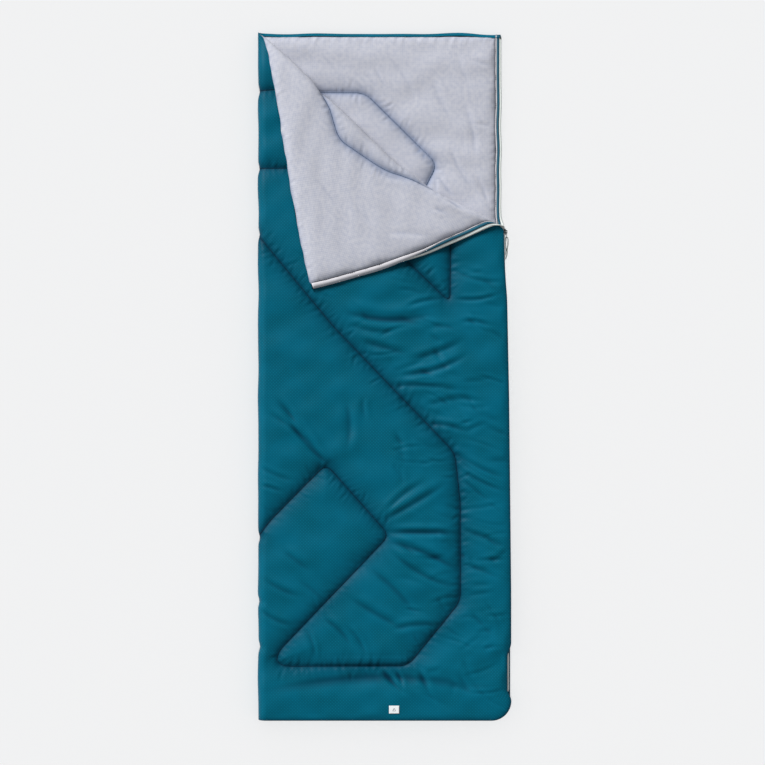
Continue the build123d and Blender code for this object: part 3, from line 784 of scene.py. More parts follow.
def wrinkled_distance(paths):
    """Distance to whatever holds the cloth: quilting or an edge."""
    def distance(x, y):
        edges = np.minimum(np.minimum(x - LEFT, RIGHT - x), np.minimum(y - FOOT, HEAD - y))
        return np.minimum(quilt_field(paths, x, y)[0], edges)
    return distance


def cover_slack(x, y):
    """The cover's shell has more spare cloth beside the zip than beside the fold seam."""
    quilt, _ = quilt_field(cover_paths, x, y)
    right = ease(x + 0.25 * y, -80, 190)
    return np.clip(0.22 + 0.75 * right + 0.25 * np.exp(-quilt / 60) * (1 - right), 0, 1)


def lining_slack(x, y):
    """The lining is a little loose all over."""
    return np.full(x.shape, 0.35)


def lofted(paths, width):
    """A plain lofted height, for the simulation to start from."""
    return lambda x, y: HALF_LOFT * puff(wrinkled_distance(paths)(x, y), width, 0.14)


cover_sim = simulate_slack("cover_sim", lofted(cover_paths, 20), cover_slack, 3,
                           wrinkled_distance(cover_paths))
lower_sim = simulate_slack("lower_sim", lofted(lower_paths, 14), lining_slack, 8,
                           wrinkled_distance(lower_paths))
flap_sim = simulate_slack("flap_sim", lofted(cover_paths, 14), lining_slack, 12,
                          wrinkled_distance(cover_paths))


# %% Shell sheets
# How high the cloth stands over the panel's middle where it turns under at the edge.
EDGE_CROWN = 4.0


def shell_sheet(paths, simulated, seed, edge, step, head_turn, upper):
    """One panel's shell on its grid: flat cloth p and q, and points in space. It is the cover's where upper
    is true, and the lower panel's, upside down, where it isn't."""
    p_axis = np.concatenate([spaced_axis(LEFT, RIGHT, step, True, True), RIGHT + TURN_UNDER])
    q_axis = np.concatenate([FOOT - TURN_UNDER[::-1], spaced_axis(FOOT, HEAD, step, True, True),
                             HEAD + head_turn])
    p, q = np.meshgrid(p_axis, q_axis)
    head_past = np.maximum(q - HEAD, 0)
    x, y, inside = place_grid(p, np.minimum(q, HEAD), 0.0)
    x = notched(squeezed(x, y, inside, 0.0, edge), y)
    y = y - head_past + 1.6 * wander(x, 210, seed + 4) * ease(y, HEAD - 60, HEAD)
    top = shell_height(x, y + head_past, inside, paths, seed)
    turned = np.clip(-inside, 0, SHELL_LIP)
    under = EDGE_CROWN - (EDGE_CROWN + SEAM_Z - LOWER_MIDDLE) * turned / SHELL_LIP
    rise = np.where(inside < 0, under, np.maximum(top, 1.0))
    hem = -0.6 - 0.45 * head_past - 0.5 * (1 + wander(x, 60, seed + 5)) * (head_past > 3)
    rise = np.where(head_past > 0, hem, rise)
    shift = read_shift(simulated, x, y, 6.5)
    held = (ease(inside, 4, 22) * ease(HEAD - y, 3, 22) * (head_past == 0))[..., None]
    quilt, _ = quilt_field(paths, x, y)
    folds = np.zeros(x.shape)
    if upper:
        for line, depth, width in COVER_CREASES:
            add_crease(folds, x, y, line, 1.7 * depth, 0.85 * width)
        loose_creases(folds, x, y, seed + 7)
        seam_gathers(folds, x, y, paths, 12, seed + 9)
    rise = rise + folds * held[..., 0] * ease(quilt, -2, 9)
    points = np.stack([x, y, rise], -1) + shift * held * [0.7, 0.7, 1]
    points[..., 2] = np.where(held[..., 0] > 0, np.clip(points[..., 2], 1.0 + 2.2 * ease(quilt, 6, 26),
        HALF_LOFT + 4.5), points[..., 2])
    points[..., 2] = COVER_MIDDLE + points[..., 2] if upper else np.maximum(LOWER_MIDDLE - points[..., 2], 0)
    points[..., 2] = closed_side(p, points[..., 2])
    # Painted shade: darkest on the quilting seams, in crease valleys, along the edges and at the left side
    # seam, where real shade would fall.
    painted_shade = 0.62 * np.exp(-quilt / 4.5) + 0.38 * np.exp(-(quilt / 30) ** 1.5) + 0.17 * np.maximum(-folds
        - 0.3, 0)
    painted_shade += 0.45 * np.exp(-np.maximum(inside, 0) / 5) + 0.3 * np.exp(-np.maximum(x - LEFT, 0) / 9)
    return p, q, points, painted_shade


cover_p, cover_q, cover_flat, cover_painted_shade = shell_sheet(cover_paths, cover_sim, 21,
                                           lambda y: edge_inset(y) + 10.5 * zip_peek(y), SHEET_STEP,
                                           np.array([0.8, 2.5]), True)
no_slack = (cover_sim[0], cover_sim[1], np.zeros_like(cover_sim[2]))
lower_p, lower_q, lower_points, lower_painted_shade = shell_sheet(lower_paths, no_slack, 33,
    lambda y: edge_inset(y) + 2 * open_share(y),
                                             9.0, np.array([0.8, 2.5, 5.0, 9.0]), False)
print("cover shell grid", cover_flat.shape, "lower shell grid", lower_points.shape)


# %% Lining sheets
def lining_sheet(paths, simulated, seed, head_margin, creases, upper):
    """One panel's lining on its grid. It faces up on the lower panel and down on the shut cover."""
    p_axis = spaced_axis(LEFT + 1.2, SEAM_X, SHEET_STEP, False, True)
    q_axis = spaced_axis(FOOT + SHELL_LIP, HEAD - head_margin, SHEET_STEP, True, True)
    p, q = np.meshgrid(p_axis, q_axis)
    x, y, inside = place_grid(p, q, SHELL_LIP)
    x = notched(squeezed(x, y, np.maximum(inside, 0), SHELL_LIP, seam_inset), y)
    y = y + 1.2 * wander(x, 75, seed + 2) * ease(y, HEAD - 50, HEAD)
    quilt, along = quilt_field(paths, x, y)
    head = HEAD - head_margin - y
    rise = puff(quilt, 15, 0.14) * puff(inside, 10, 0.06) * puff(head, 10, 0.12)
    gathers = (pucker(quilt, along, 13, 13, 0.8, seed) + pucker(inside, y, 10, 14, 0.7, seed + 1)
               + pucker(head, x, 14, 16, 1.0, seed + 3))
    shift = read_shift(simulated, x, y, 5.0) * (ease(inside, 3, 20) * ease(head, 3, 20))[..., None]
    folds = np.zeros(x.shape)
    for line, depth, width in creases:
        add_crease(folds, x, y, line, depth, width)
    seam_gathers(folds, x, y, paths, 15, seed + 9)
    folds *= ease(inside, 1, 10) * ease(head, 1, 8) * ease(quilt, -2, 9)
    points = np.stack([x, y, HALF_LOFT * rise + gathers + folds], -1) + shift * [0.6, 0.6, 1]
    points[..., 2] = np.clip(points[..., 2], 0.3, HALF_LOFT + 2.0)
    points[..., 2] = COVER_MIDDLE - points[..., 2] if upper else LOWER_MIDDLE + points[..., 2]
    points[..., 2] = closed_side(p, points[..., 2])
    # Painted shade: darkest on the quilting seams, in crease valleys, along the edges and along the head hem,
    # where real shade would fall.
    painted_shade = 0.8 * np.exp(-quilt / 5) + 0.4 * np.exp(-(quilt / 20) ** 1.5) + 0.3 * np.maximum(-folds - 0.3, 0)
    painted_shade += 0.5 * np.exp(-inside / 4) + 0.5 * np.exp(-head / 5) * (1 + 0.6 * wander(x, 30, seed + 6))
    return p, q, points, painted_shade


LOWER_CREASES = [
    ((-175, 893, -90, 800), 1.0, 5), ((-28, 858, 8, 797), 1.5, 4.5), ((-62, 842, -20, 795), 1.2, 4.5),
    ((-95, 826, -55, 793), 1.0, 4), ((148, 552, 190, 496), 2.0, 6), ((142, 550, 140, 508), 1.4, 5),
    ((70, 690, 150, 560), 1.4, 10), ((215, 760, 250, 600), 1.2, 9), ((180, 640, 262, 500), 1.3, 8),
    ((0, 900, 90, 740), 1.0, 10), ((200, 900, 240, 800), 0.9, 9), ((250, 560, 290, 470), 1.4, 6),
    ((130, 830, 190, 700), 1.1, 10), ((-220, 905, -190, 860), 1.0, 5), ((-250, 920, -235, 890), 1.0, 4),
    ((240, 880, 296, 860), 1.2, 6), ((250, 700, 298, 690), 1.2, 6), ((100, 500, 200, 420), 1.4, 8),
]
FLAP_CREASES = [
    ((40, 690, 110, 600), 1.2, 8), ((200, 520, 250, 500), 2.2, 6), ((210, 560, 240, 540), 1.8, 6),
    ((120, 760, 200, 720), 1.0, 9), ((60, 860, 140, 800), 0.9, 10), ((230, 700, 280, 600), 1.0, 9),
]
cover_lining_p, cover_lining_q, cover_lining_flat, flap_painted_shade = lining_sheet(
    cover_paths, flap_sim, 51, 1.5, FLAP_CREASES, True)
lower_lining_p, lower_lining_q, lower_lining_points, bed_painted_shade = lining_sheet(
    lower_paths, lower_sim, 61, 9.0, LOWER_CREASES, False)
print("lining grids", cover_lining_flat.shape, lower_lining_points.shape)


# %% [markdown]
# ## Making the sheets, and folding two of them
# Cover and flap are one cloth on the real bag, so their shell is one piece here, and so is their lining. Both
# are folded at the roll, and neither is attached to the cover or the flap.

# %% Sheet pieces
def sheet_piece(name, p, q, points, material, flip):
    """A sheet's mesh, with its flat cloth as its UV map."""
    uv = np.stack([p - LEFT, q - FOOT], -1).reshape(-1, 2)
    return mesh_object(name, points.reshape(-1, 3), grid_faces(*p.shape, flip=flip), material, uv)


def blend_at_fold(piece, turn):
    """Bakes the piece's transform into its mesh, with its points set for a moment to how far round the roll
    each lies, and then puts them back as they were.
    """
    mesh = piece.data
    rest = np.zeros(len(mesh.vertices) * 3, np.float32)
    mesh.vertices.foreach_get("co", rest)
    by_turn = np.zeros((len(mesh.vertices), 3), np.float32)
    by_turn[:, 0] = turn.ravel()
    mesh.vertices.foreach_set("co", by_turn.ravel())
    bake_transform(piece)
    mesh.vertices.foreach_set("co", rest)
    mesh.update()


cover_folded, cover_turn = folded(cover_flat)
cover_shell_cloth = sheet_piece("cover_shell_cloth", cover_p, cover_q, cover_folded, shell_taffeta, False)
blend_at_fold(cover_shell_cloth, cover_turn)
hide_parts("cover_shell", "flap_shell")
paint_shade(cover_shell_cloth, cover_painted_shade)

lining_folded, lining_turn = folded(cover_lining_flat)
cover_lining_cloth = sheet_piece("cover_lining_cloth", cover_lining_p, cover_lining_q, lining_folded,
                                 brushed_lining, True)
blend_at_fold(cover_lining_cloth, lining_turn)
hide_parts("cover_lining", "flap_lining")
paint_shade(cover_lining_cloth, flap_painted_shade)

lower_shell_cloth = sheet_piece("lower_shell_cloth", lower_p, lower_q, lower_points, shell_taffeta, True)
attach(lower_shell_cloth, "lower_panel")
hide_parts("lower_shell")
paint_shade(lower_shell_cloth, lower_painted_shade)

lower_lining_cloth = sheet_piece("lower_lining_cloth", lower_lining_p, lower_lining_q, lower_lining_points,
                                 brushed_lining, False)
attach(lower_lining_cloth, "lower_panel")
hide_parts("lower_lining")
paint_shade(lower_lining_cloth, bed_painted_shade)


# %% [markdown]
# ## The wadding
# Between shell and lining lies a sheet of polyester wadding. It never shows, but the bag isn't itself without
# it, so each body has its own, thinner than the space that the cloth leaves.

# %% Wadding
# The pad is only seen through gaps, so it fills a small share of the loft and stays clear of both cloths.
PAD_SHARE = 0.18


def batting(name, body, node, p_range, keep, fold_it, upper):
    """A closed pad between two layers: two grids joined round their rim."""
    p, q = np.meshgrid(np.linspace(*p_range, 60), np.linspace(FOOT + 38, HEAD - 16, 150))
    x = np.minimum(p, RIGHT - seam_inset(q) - 4)
    quilt, _ = quilt_field(cover_paths if upper else lower_paths, x, q)
    rim = np.minimum(x - p_range[0], p_range[1] - p)
    half = HALF_LOFT * PAD_SHARE * ease(quilt, 8, 50) * ease(rim, 0, 40)
    middle = COVER_MIDDLE if upper else LOWER_MIDDLE
    layers = [np.stack([x, q, closed_side(p, middle + side * (half + 0.12))], -1) for side in (1, -1)]
    if fold_it:
        layers = [folded(layer)[0] for layer in layers]
    used = keep(x, q).ravel()
    quads = grid_faces(*p.shape)
    quads = quads[used[quads].all(1)]
    count = p.size
    edges = np.concatenate([quads[:, [i, (i + 1) % 4]] for i in range(4)])
    there = set(map(tuple, edges.tolist()))
    rim = np.array([(a, b) for a, b in edges.tolist() if (b, a) not in there])
    sides = np.stack([rim[:, 1], rim[:, 0], rim[:, 0] + count, rim[:, 1] + count], -1)
    faces = np.concatenate([quads, quads[:, ::-1] + count, sides])
    if fold_it and body == "flap":
        faces = faces[:, ::-1]
    points = np.concatenate([layer.reshape(-1, 3) for layer in layers])
    order, inverse = np.unique(faces, return_inverse=True)
    uv = np.concatenate([np.stack([p, q], -1).reshape(-1, 2)] * 2)[order]
    piece = mesh_object(name, points[order], inverse.reshape(-1, 4), wadding_fibre, uv)
    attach(piece, body)
    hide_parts(node)


def past_fold(x, y):
    """How far a point is past the start of the roll, in millimetres, and the roll's length."""
    t = (x - fold_start[0]) * fold_along[0] + (y - fold_start[1]) * fold_along[1]
    s = (x - fold_start[0]) * fold_across[0] + (y - fold_start[1]) * fold_across[1]
    radius, roll_start = fold_lines(t)
    return s - roll_start, math.pi * radius


batting("lower_wadding_pad", "lower_panel", "lower_wadding", (LEFT + 28, SEAM_X - 8),
        lambda x, y: np.ones(x.shape, bool), False, False)
batting("cover_wadding_pad", "cover", "cover_wadding", (LEFT + 28, SEAM_X - 8),
        lambda x, y: past_fold(x, y)[0] < -4, True, True)
batting("flap_wadding_pad", "flap", "flap_wadding", (LEFT + 28, SEAM_X - 8),
        lambda x, y: past_fold(x, y)[0] > past_fold(x, y)[1] + 4, True, True)


# %% [markdown]
# ## The zip's tapes, guard strip and binding
# Each half of the zip is a woven tape with its coil near the free edge. On the bag a teal guard strip covers
# the tape's sewn side, and a pale binding covers the lining's raw edge. They are ribbons along the zip's
# path: lying out flat where the zip is open, and standing up to meet the other half where it is shut.

# %% Ribbons
def zip_stations(step=4.0):
    """Distances along the zip's path where its ribbons have a cross section."""
    return np.arange(6.0, ZIP_PATH_LENGTH - 16, step)


def blended_insets(distance, shut, opened):
    """A ribbon's insets and heights at each station, between its shut and open sections."""
    y = HEAD - np.minimum(distance, HEAD - FOOT)
    openness = open_share(y)[:, None]
    shut, opened = np.array(shut, float), np.array(opened, float)
    inset = shut[:, 0] * (1 - openness) + opened[:, 0] * openness
    height = shut[:, 1] * (1 - openness) + opened[:, 1] * openness
    near_coil = np.clip((SHELL_LIP - inset) / (SHELL_LIP - CLOSED_ZIP), 0, 1)
    return inset - 11.5 * near_coil * zip_peek(y)[:, None], height


def zip_ribbon(distance, shut, opened):
    """A ribbon's points on the lower panel, from its shut and open cross sections of (inset, z)."""
    inset, z = blended_insets(distance, shut, opened)
    x, y = zip_side_point(distance[:, None], inset)
    drift = 0.7 * wander(distance, 120, 71)[:, None] * open_share(y)
    return np.stack([x + drift, y, z], -1)


def flap_ribbon(distance, shut, opened, tucked):
    """A ribbon of the cover's half. Its zip hem rolls under towards the head corner."""
    share = ease(distance, TUCK_FROM, TUCK_TO)[:, None, None]
    return upper_copy(share * zip_ribbon(distance, shut, opened) + (1 - share)
                      * zip_ribbon(distance, shut, tucked))


def upper_copy(points):
    """The cover's half of something made for the lower panel."""
    return np.concatenate([points[..., :2], TOP_Z - points[..., 2:]], -1)


CLOSED_ZIP, OPEN_EDGE = RIGHT - ZIP_X, edge_inset(np.array(HEAD))
TAPE_SHUT = [(SHELL_LIP - 2, 13.6), (25, 15.6), (CLOSED_ZIP + 2.5, 18.6), (CLOSED_ZIP, 20.5),
             (CLOSED_ZIP, COIL_Z - 0.6)]
TAPE_OPEN = [(OPEN_SEAM_INSET - 1, 13.4), (36.5, 14.0), (31, 14.4), (28, 14.5), (OPEN_EDGE, 14.6)]
GUARD_SHUT = [(SHELL_LIP - 2, 14.3), (28, 15.2), (24, 16.9)]
GUARD_OPEN = [(OPEN_SEAM_INSET - 3.6, 15.2), (34.5, 15.8), (31.5, 15.3)]
BINDING_SHUT = [(SHELL_LIP + 1, 14.8), (SHELL_LIP + 3, 16.8), (SHELL_LIP + 5, 18.6)]
BINDING_OPEN = [(OPEN_SEAM_INSET - 3.2, 15.6), (OPEN_SEAM_INSET - 1.4, 16.3), (OPEN_SEAM_INSET + 0.6, 16.6)]
FLAP_TAPE = [(OPEN_SEAM_INSET - 1, 13.4), (36.5, 14.0), (30, 14.6), (25, 14.6), (20.5, 14.4)]
FLAP_GUARD = [(OPEN_SEAM_INSET - 2.2, 15.6), (34, 16.0), (29.4, 15.4)]
FLAP_BINDING = [(OPEN_SEAM_INSET - 2.2, 15.9), (OPEN_SEAM_INSET - 1.0, 16.5), (OPEN_SEAM_INSET + 0.6, 16.8)]
TUCKED_TAPE = [(OPEN_SEAM_INSET - 1, 13.0), (37.5, 13.4), (33, 13.5), (31, 13.4), (29, 13.0)]
TUCKED_GUARD = [(OPEN_SEAM_INSET - 3, 14.2), (35, 14.3), (32, 14.0)]
WIDE_BINDING = [(26.5, 14.6), (33, 16.0), (OPEN_SEAM_INSET + 0.6, 16.8)]
COIL_SHUT, COIL_OPEN = [(CLOSED_ZIP, COIL_Z)], [(OPEN_EDGE + 1.6, 15.9)]
FLAP_COIL, TUCKED_COIL = [(23.2, 15.8)], [(30.5, 12.6)]
TUCK_FROM, TUCK_TO = 215.0, 400.0
stations = zip_stations()


def split_at_fold(points):
    """A cover strip's points folded, and for each station whether it is on the flap."""
    placed, turn = folded(points)
    middle = turn.reshape(len(points), -1).mean(1)
    return placed, middle > 0.5


def strip_object(name, points, material, widths, flip=False):
    """A ribbon of cloth with a little thickness."""
    rows, columns = points.shape[:2]
    run = np.concatenate([[0], np.cumsum(np.linalg.norm(np.diff(points[:, 0], axis=0), axis=1))])
    uv = np.stack(np.meshgrid(widths, run), -1).reshape(-1, 2)
    piece = mesh_object(name, points.reshape(-1, 3), grid_faces(rows, columns, flip=flip), material, uv)
    solid = piece.modifiers.new("thickness", "SOLIDIFY")
    solid.thickness, solid.offset = 0.45 * MM, 0
    return piece


def zip_strips(kind, shut, opened, flap, tucked, material):
    """The three pieces of one of the zip's ribbons: on the lower panel, the cover and the flap."""
    lower = zip_ribbon(stations, shut, opened)
    cover, on_flap = split_at_fold(flap_ribbon(stations, shut, flap, tucked))
    widths = np.array(shut)[:, 0]
    last = int(np.flatnonzero(on_flap).max()) + 1
    for prefix, body, points, flip in (("lower", "lower_panel", lower, True),
                                       ("flap", "flap", cover[:last + 1], False),
                                       ("cover", "cover", cover[last:], False)):
        piece = strip_object(f"{prefix}_{kind}_cloth", points, material, widths, flip)
        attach(piece, body)
        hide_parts(f"{prefix}_{kind}")


zip_strips("zip_tape", TAPE_SHUT, TAPE_OPEN, FLAP_TAPE, TUCKED_TAPE, zip_tape_twill)
zip_strips("zip_guard", GUARD_SHUT, GUARD_OPEN, FLAP_GUARD, TUCKED_GUARD, guard_tape_cloth)
zip_strips("lining_binding", BINDING_SHUT, BINDING_OPEN, FLAP_BINDING, WIDE_BINDING, binding_grosgrain)


# %% [markdown]
# ## Stitches and coil teeth
# A row of stitches and a zip's coil are one small shape repeated along a path, which is what Geometry Nodes
# are for. The path is a line of points that already lies on the cloth. The tree resamples it to an even
# spacing, sets a rounded bar on each point, turned along the path or across it, and makes the instances real.

# %% Geometry Nodes tree
def along_path_tree():
    """Small rounded bars along a path, with named sizes. Across turns the bars to the path's stored side."""
    tree = bpy.data.node_groups.new("bars_along_path", "GeometryNodeTree")
    tree.interface.new_socket("Path", in_out="INPUT", socket_type="NodeSocketGeometry")
    for name in ("Spacing", "Length", "Width", "Thickness"):
        tree.interface.new_socket(name, in_out="INPUT", socket_type="NodeSocketFloat")
    tree.interface.new_socket("Across", in_out="INPUT", socket_type="NodeSocketBool")
    tree.interface.new_socket("Finish", in_out="INPUT", socket_type="NodeSocketMaterial")
    tree.interface.new_socket("Bars", in_out="OUTPUT", socket_type="NodeSocketGeometry")
    given = add_node(tree, "NodeGroupInput").outputs
    side = add_node(tree, "GeometryNodeInputNamedAttribute", {"Name": "side"}, data_type="FLOAT_VECTOR")
    curve = add_node(tree, "GeometryNodeMeshToCurve", {"Mesh": given["Path"]})
    even = add_node(tree, "GeometryNodeResampleCurve", {"Curve": curve.outputs[0],
        "Length": given["Spacing"]},
                    mode="LENGTH")
    tangent = add_node(tree, "GeometryNodeInputTangent")
    lengthwise = add_node(tree, "GeometryNodeSwitch", {"Switch": given["Across"], "False": tangent.outputs[0],
                                                      "True": side.outputs["Attribute"]}, input_type="VECTOR")
    upright = add_node(tree, "FunctionNodeAlignRotationToVector", {"Vector": lengthwise.outputs[0]}, axis="Z")
    bar = add_node(tree, "GeometryNodeMeshUVSphere", {"Radius": 0.5, "Segments": 7, "Rings": 5})
    size = add_node(tree, "ShaderNodeCombineXYZ", {"X": given["Width"], "Y": given["Thickness"],
                                                   "Z": given["Length"]})
    placed = add_node(tree, "GeometryNodeInstanceOnPoints",
                      {"Points": even.outputs[0], "Instance": bar.outputs[0],
                                                             "Rotation": upright.outputs[0],
                                                             "Scale": size.outputs[0]})
    real = add_node(tree, "GeometryNodeRealizeInstances", {"Geometry": placed.outputs[0]})
    finished = add_node(tree, "GeometryNodeSetMaterial",
                        {"Geometry": real.outputs[0], "Material": given["Finish"]})
    add_node(tree, "NodeGroupOutput", {"Bars": finished.outputs[0]})
    return tree


bars_tree = along_path_tree()


def bars_along(name, paths, material, spacing, length, width, thickness, sides=None):
    """A plain mesh of bars along one or more paths of points, in millimetres."""
    points = np.concatenate(paths) * MM
    starts = np.cumsum([0] + [len(path) for path in paths])
    edges = [(i, i + 1) for a, b in zip(starts, starts[1:]) for i in range(a, b - 1)]
    mesh = bpy.data.meshes.new(name + "_path")
    mesh.from_pydata(points.tolist(), edges, [])
    if sides is not None:
        mesh.attributes.new("side", "FLOAT_VECTOR", "POINT").data.foreach_set(
            "vector", np.concatenate(sides).astype(np.float32).ravel())
    holder = bpy.data.objects.new(name + "_path", mesh)
    bpy.context.scene.collection.objects.link(holder)
    nodes = holder.modifiers.new("bars", "NODES")
    nodes.node_group = bars_tree
    values = {"Spacing": spacing * MM, "Length": length * MM, "Width": width * MM,
              "Thickness": thickness * MM,
              "Across": sides is not None, "Finish": material}
    for socket in bars_tree.interface.items_tree:
        if socket.name in values:
            nodes[socket.identifier] = values[socket.name]
    bpy.context.view_layer.update()
    made = bpy.data.meshes.new_from_object(holder.evaluated_get(bpy.context.evaluated_depsgraph_get()))
    made.name = name
    made.shade_smooth()
    bpy.data.objects.remove(holder)
    piece = bpy.data.objects.new(name, made)
    bpy.context.scene.collection.objects.link(piece)
    print(name, len(made.polygons), "faces")
    return piece


# %% Stitch rows on the cloth
def surface_of(points, faces):
    """A cloth's faces, to drop stitches onto."""
    return BVHTree.FromPolygons(points.reshape(-1, 3).tolist(), faces.tolist())


def dropped(tree, x, y, down=True, lift=0.3, keep_all=False):
    """Points at x and y that lie on a cloth, seen from above, or from below. A point off the cloth is left
    out, or takes the height of the one before it where all are kept."""
    found, height = [], MIDDLE_Z
    start, way = (200.0, -1.0) if down else (-50.0, 1.0)
    for at_x, at_y in zip(x, y):
        hit = tree.ray_cast(Vector((at_x, at_y, start)), Vector((0, 0, way)))[0]
        if hit is not None or keep_all:
            height = hit.z - way * lift if hit is not None else height
            found.append((at_x, at_y, height))
    return np.array(found).reshape(-1, 3)


def dense(path, step=3.0):
    """A path with a point about every step."""
    run = np.concatenate([[0], np.cumsum(np.linalg.norm(np.diff(path, axis=0), axis=1))])
    at = np.arange(0, run[-1], step)
    return np.interp(at, run, path[:, 0]), np.interp(at, run, path[:, 1])


cover_surface = surface_of(cover_flat, grid_faces(*cover_p.shape))
cover_lining_surface = surface_of(cover_lining_flat, grid_faces(*cover_lining_p.shape))
lower_lining_surface = surface_of(lower_lining_points, grid_faces(*lower_lining_p.shape))


def runs(points, keep):
    """The stretches of a line of points where keep is true."""
    cuts = np.flatnonzero(np.diff(keep.astype(int))) + 1
    return [part for part, used in zip(np.split(points, cuts), np.split(keep, cuts)) if used[0]
            and len(part) > 2]


def on_body(paths, flap):
    """Cover paths folded, and only their stretches on the flap, or only those that aren't."""
    found = []
    for path in paths:
        placed, turn = folded(path)
        found += runs(placed, (turn > 0.5) == flap)
    return found


def stitched(name, body, node, paths, material, spacing=4.8, length=4.6, width=2.2, thickness=1.0):
    """A row of stitches that rides on a body and stands for a CAD thread."""
    piece = bars_along(name, paths, material, spacing, length, width, thickness)
    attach(piece, body)
    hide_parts(node)


shell_seams = [dropped(cover_surface, *dense(path)) for path in cover_paths]
lining_seams = [dropped(cover_lining_surface, *dense(path), down=False) for path in cover_paths]
lower_seams = [dropped(lower_lining_surface, *dense(path)) for path in lower_paths]
stitched("cover_quilt_stitches", "cover", "cover_quilt_thread", on_body(shell_seams, False), shell_thread)
stitched("flap_quilt_stitches", "flap", "flap_quilt_thread", on_body(lining_seams, True), lining_thread,
         width=1.6)
stitched("lower_quilt_stitches", "lower_panel", "lower_quilt_thread", lower_seams, lining_thread, width=2.2)


def hem_path(inset_shut, inset_open, z_shut, z_open):
    """The lining's seam beside the zip, as a line on the lower panel."""
    line = zip_ribbon(np.arange(8.0, ZIP_PATH_LENGTH - 18, 3.0), [(inset_shut, z_shut)],
                      [(inset_open, z_open)])[:, 0]
    line[:, 0] += 0.8 * wander(line[:, 1], 40, 91)
    return line


hem_line = hem_path(SHELL_LIP + 8, OPEN_SEAM_INSET + 1.4, 18.2, 17.0)
stitched("lower_zip_seam_stitches", "lower_panel", "lower_zip_seam_thread", [hem_line], hem_thread,
         spacing=5.2, length=3.6, width=1.5)
upper_hem = [upper_copy(hem_line)]
stitched("cover_zip_seam_stitches", "cover", "cover_zip_seam_thread", on_body(upper_hem, False), hem_thread,
         spacing=5.2, length=3.6, width=1.2)
stitched("flap_zip_seam_stitches", "flap", "flap_zip_seam_thread", on_body(upper_hem, True), hem_thread,
         spacing=5.2, length=3.4, width=1.1)

# %% [markdown]
# ## The coil
# A nylon coil zip's teeth are the turns of one plastic spiral sewn to the tape's edge. Seen from any distance
# they are short bars across the tape. The real turns are 1.3 mm apart, and they are drawn 2.2 mm apart here.

# %% Coil
coil_stations = np.arange(14.0, ZIP_PATH_LENGTH - 24, 2.0)
coil_line = zip_ribbon(coil_stations, COIL_SHUT, COIL_OPEN)[:, 0]
inner = zip_ribbon(coil_stations, [(CLOSED_ZIP + 1, COIL_Z)], [(OPEN_EDGE + 2.6, 15.9)])[:, 0]
upright = np.array([0.0, 0.0, 1.0])
openness = open_share(coil_line[:, 1])[:, None]
coil_side = (inner - coil_line) * openness + upright * (1 - openness)
coil_upper = flap_ribbon(coil_stations, COIL_SHUT, FLAP_COIL, TUCKED_COIL)[:, 0]
coil_cover, coil_turn = folded(coil_upper)
coil_tip, _ = folded(coil_upper + coil_side * [1, 1, -1])
on_flap = coil_turn > 0.5
for prefix, body, line, side in (("lower", "lower_panel", coil_line, coil_side),
                                 ("cover", "cover", coil_cover[~on_flap], (coil_tip - coil_cover)[~on_flap]),
                                 ("flap", "flap", coil_cover[on_flap], (coil_tip - coil_cover)[on_flap])):
    coil = bars_along(f"{prefix}_zip_coil_turns", [line], nylon_coil, 2.2, 3.4, 1.5, 1.5, sides=[side])
    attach(coil, body)
    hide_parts(f"{prefix}_zip_coil")


# %% Stops
def stop_clip(name, body, node, place, along):
    """A small metal clip with rounded edges, squeezed over the coil's end."""
    along = np.array([along[0], along[1], 0.0]) / np.hypot(along[0], along[1])
    across = np.array([-along[1], along[0], 0.0])
    signs = np.array([(x, y, z) for z in (-1, 1) for x, y in ((-1, -1), (1, -1), (1, 1), (-1, 1))])
    points = place + signs[:, :1] * 2.3 * along + signs[:, 1:2] * 1.7 * across + signs[:, 2:] * [0, 0, 1.3]
    faces = [(0, 3, 2, 1), (4, 5, 6, 7), (0, 1, 5, 4), (1, 2, 6, 5), (2, 3, 7, 6), (3, 0, 4, 7)]
    clip = mesh_object(name, points, faces, slider_zinc)
    rounding = clip.modifiers.new("rounding", "BEVEL")
    rounding.width, rounding.segments = 0.6 * MM, 3
    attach(clip, body)
    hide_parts(node)


stop_clip("lower_head_stop_clip", "lower_panel", "lower_zip_head_stop", coil_line[0],
          coil_line[1] - coil_line[0])
stop_clip("lower_foot_stop_clip", "lower_panel", "lower_zip_foot_stop", coil_line[-1],
          coil_line[-1] - coil_line[-2])
stop_clip("flap_head_stop_clip", "flap", "flap_zip_head_stop", coil_cover[0], coil_cover[1] - coil_cover[0])
stop_clip("cover_foot_stop_clip", "cover", "cover_zip_foot_stop", coil_cover[-1],
          coil_cover[-1] - coil_cover[-2])

# %% [markdown]
# ## The label and the side seam's tape
# A small woven label is sewn to the cover at the foot. It carries only a plain tent shape. Inside the bag, a
# narrow tape binds the seam that both panels share.

# %% Label and side tape
label_low, label_high = box_mm("label_cloth")
label_x, label_y = np.meshgrid(np.linspace(label_low[0], label_high[0], 15),
                               np.linspace(label_low[1], label_high[1], 12))
label_points = dropped(cover_surface, label_x.ravel(), label_y.ravel(), lift=0.0, keep_all=True)
level = label_points[:, 2].mean()
label_points[:, 2] = level + 0.5 * (label_points[:, 2] - level) + 1.0
label_uv = np.stack([label_x, label_y], -1).reshape(-1, 2)
label_cloth = mesh_object("label_woven_cloth", label_points, grid_faces(*label_x.shape), label_satin,
                          label_uv)
solid = label_cloth.modifiers.new("thickness", "SOLIDIFY")
solid.thickness, solid.offset = 0.5 * MM, 0
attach(label_cloth, "cover")
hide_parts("label_cloth")
label_top = surface_of(label_points, grid_faces(*label_x.shape))


def on_label(corners):
    """A closed path of stitches on the label."""
    path = np.array(corners + corners[:1], float)
    return dropped(label_top, *dense(path, 0.8), lift=0.35)


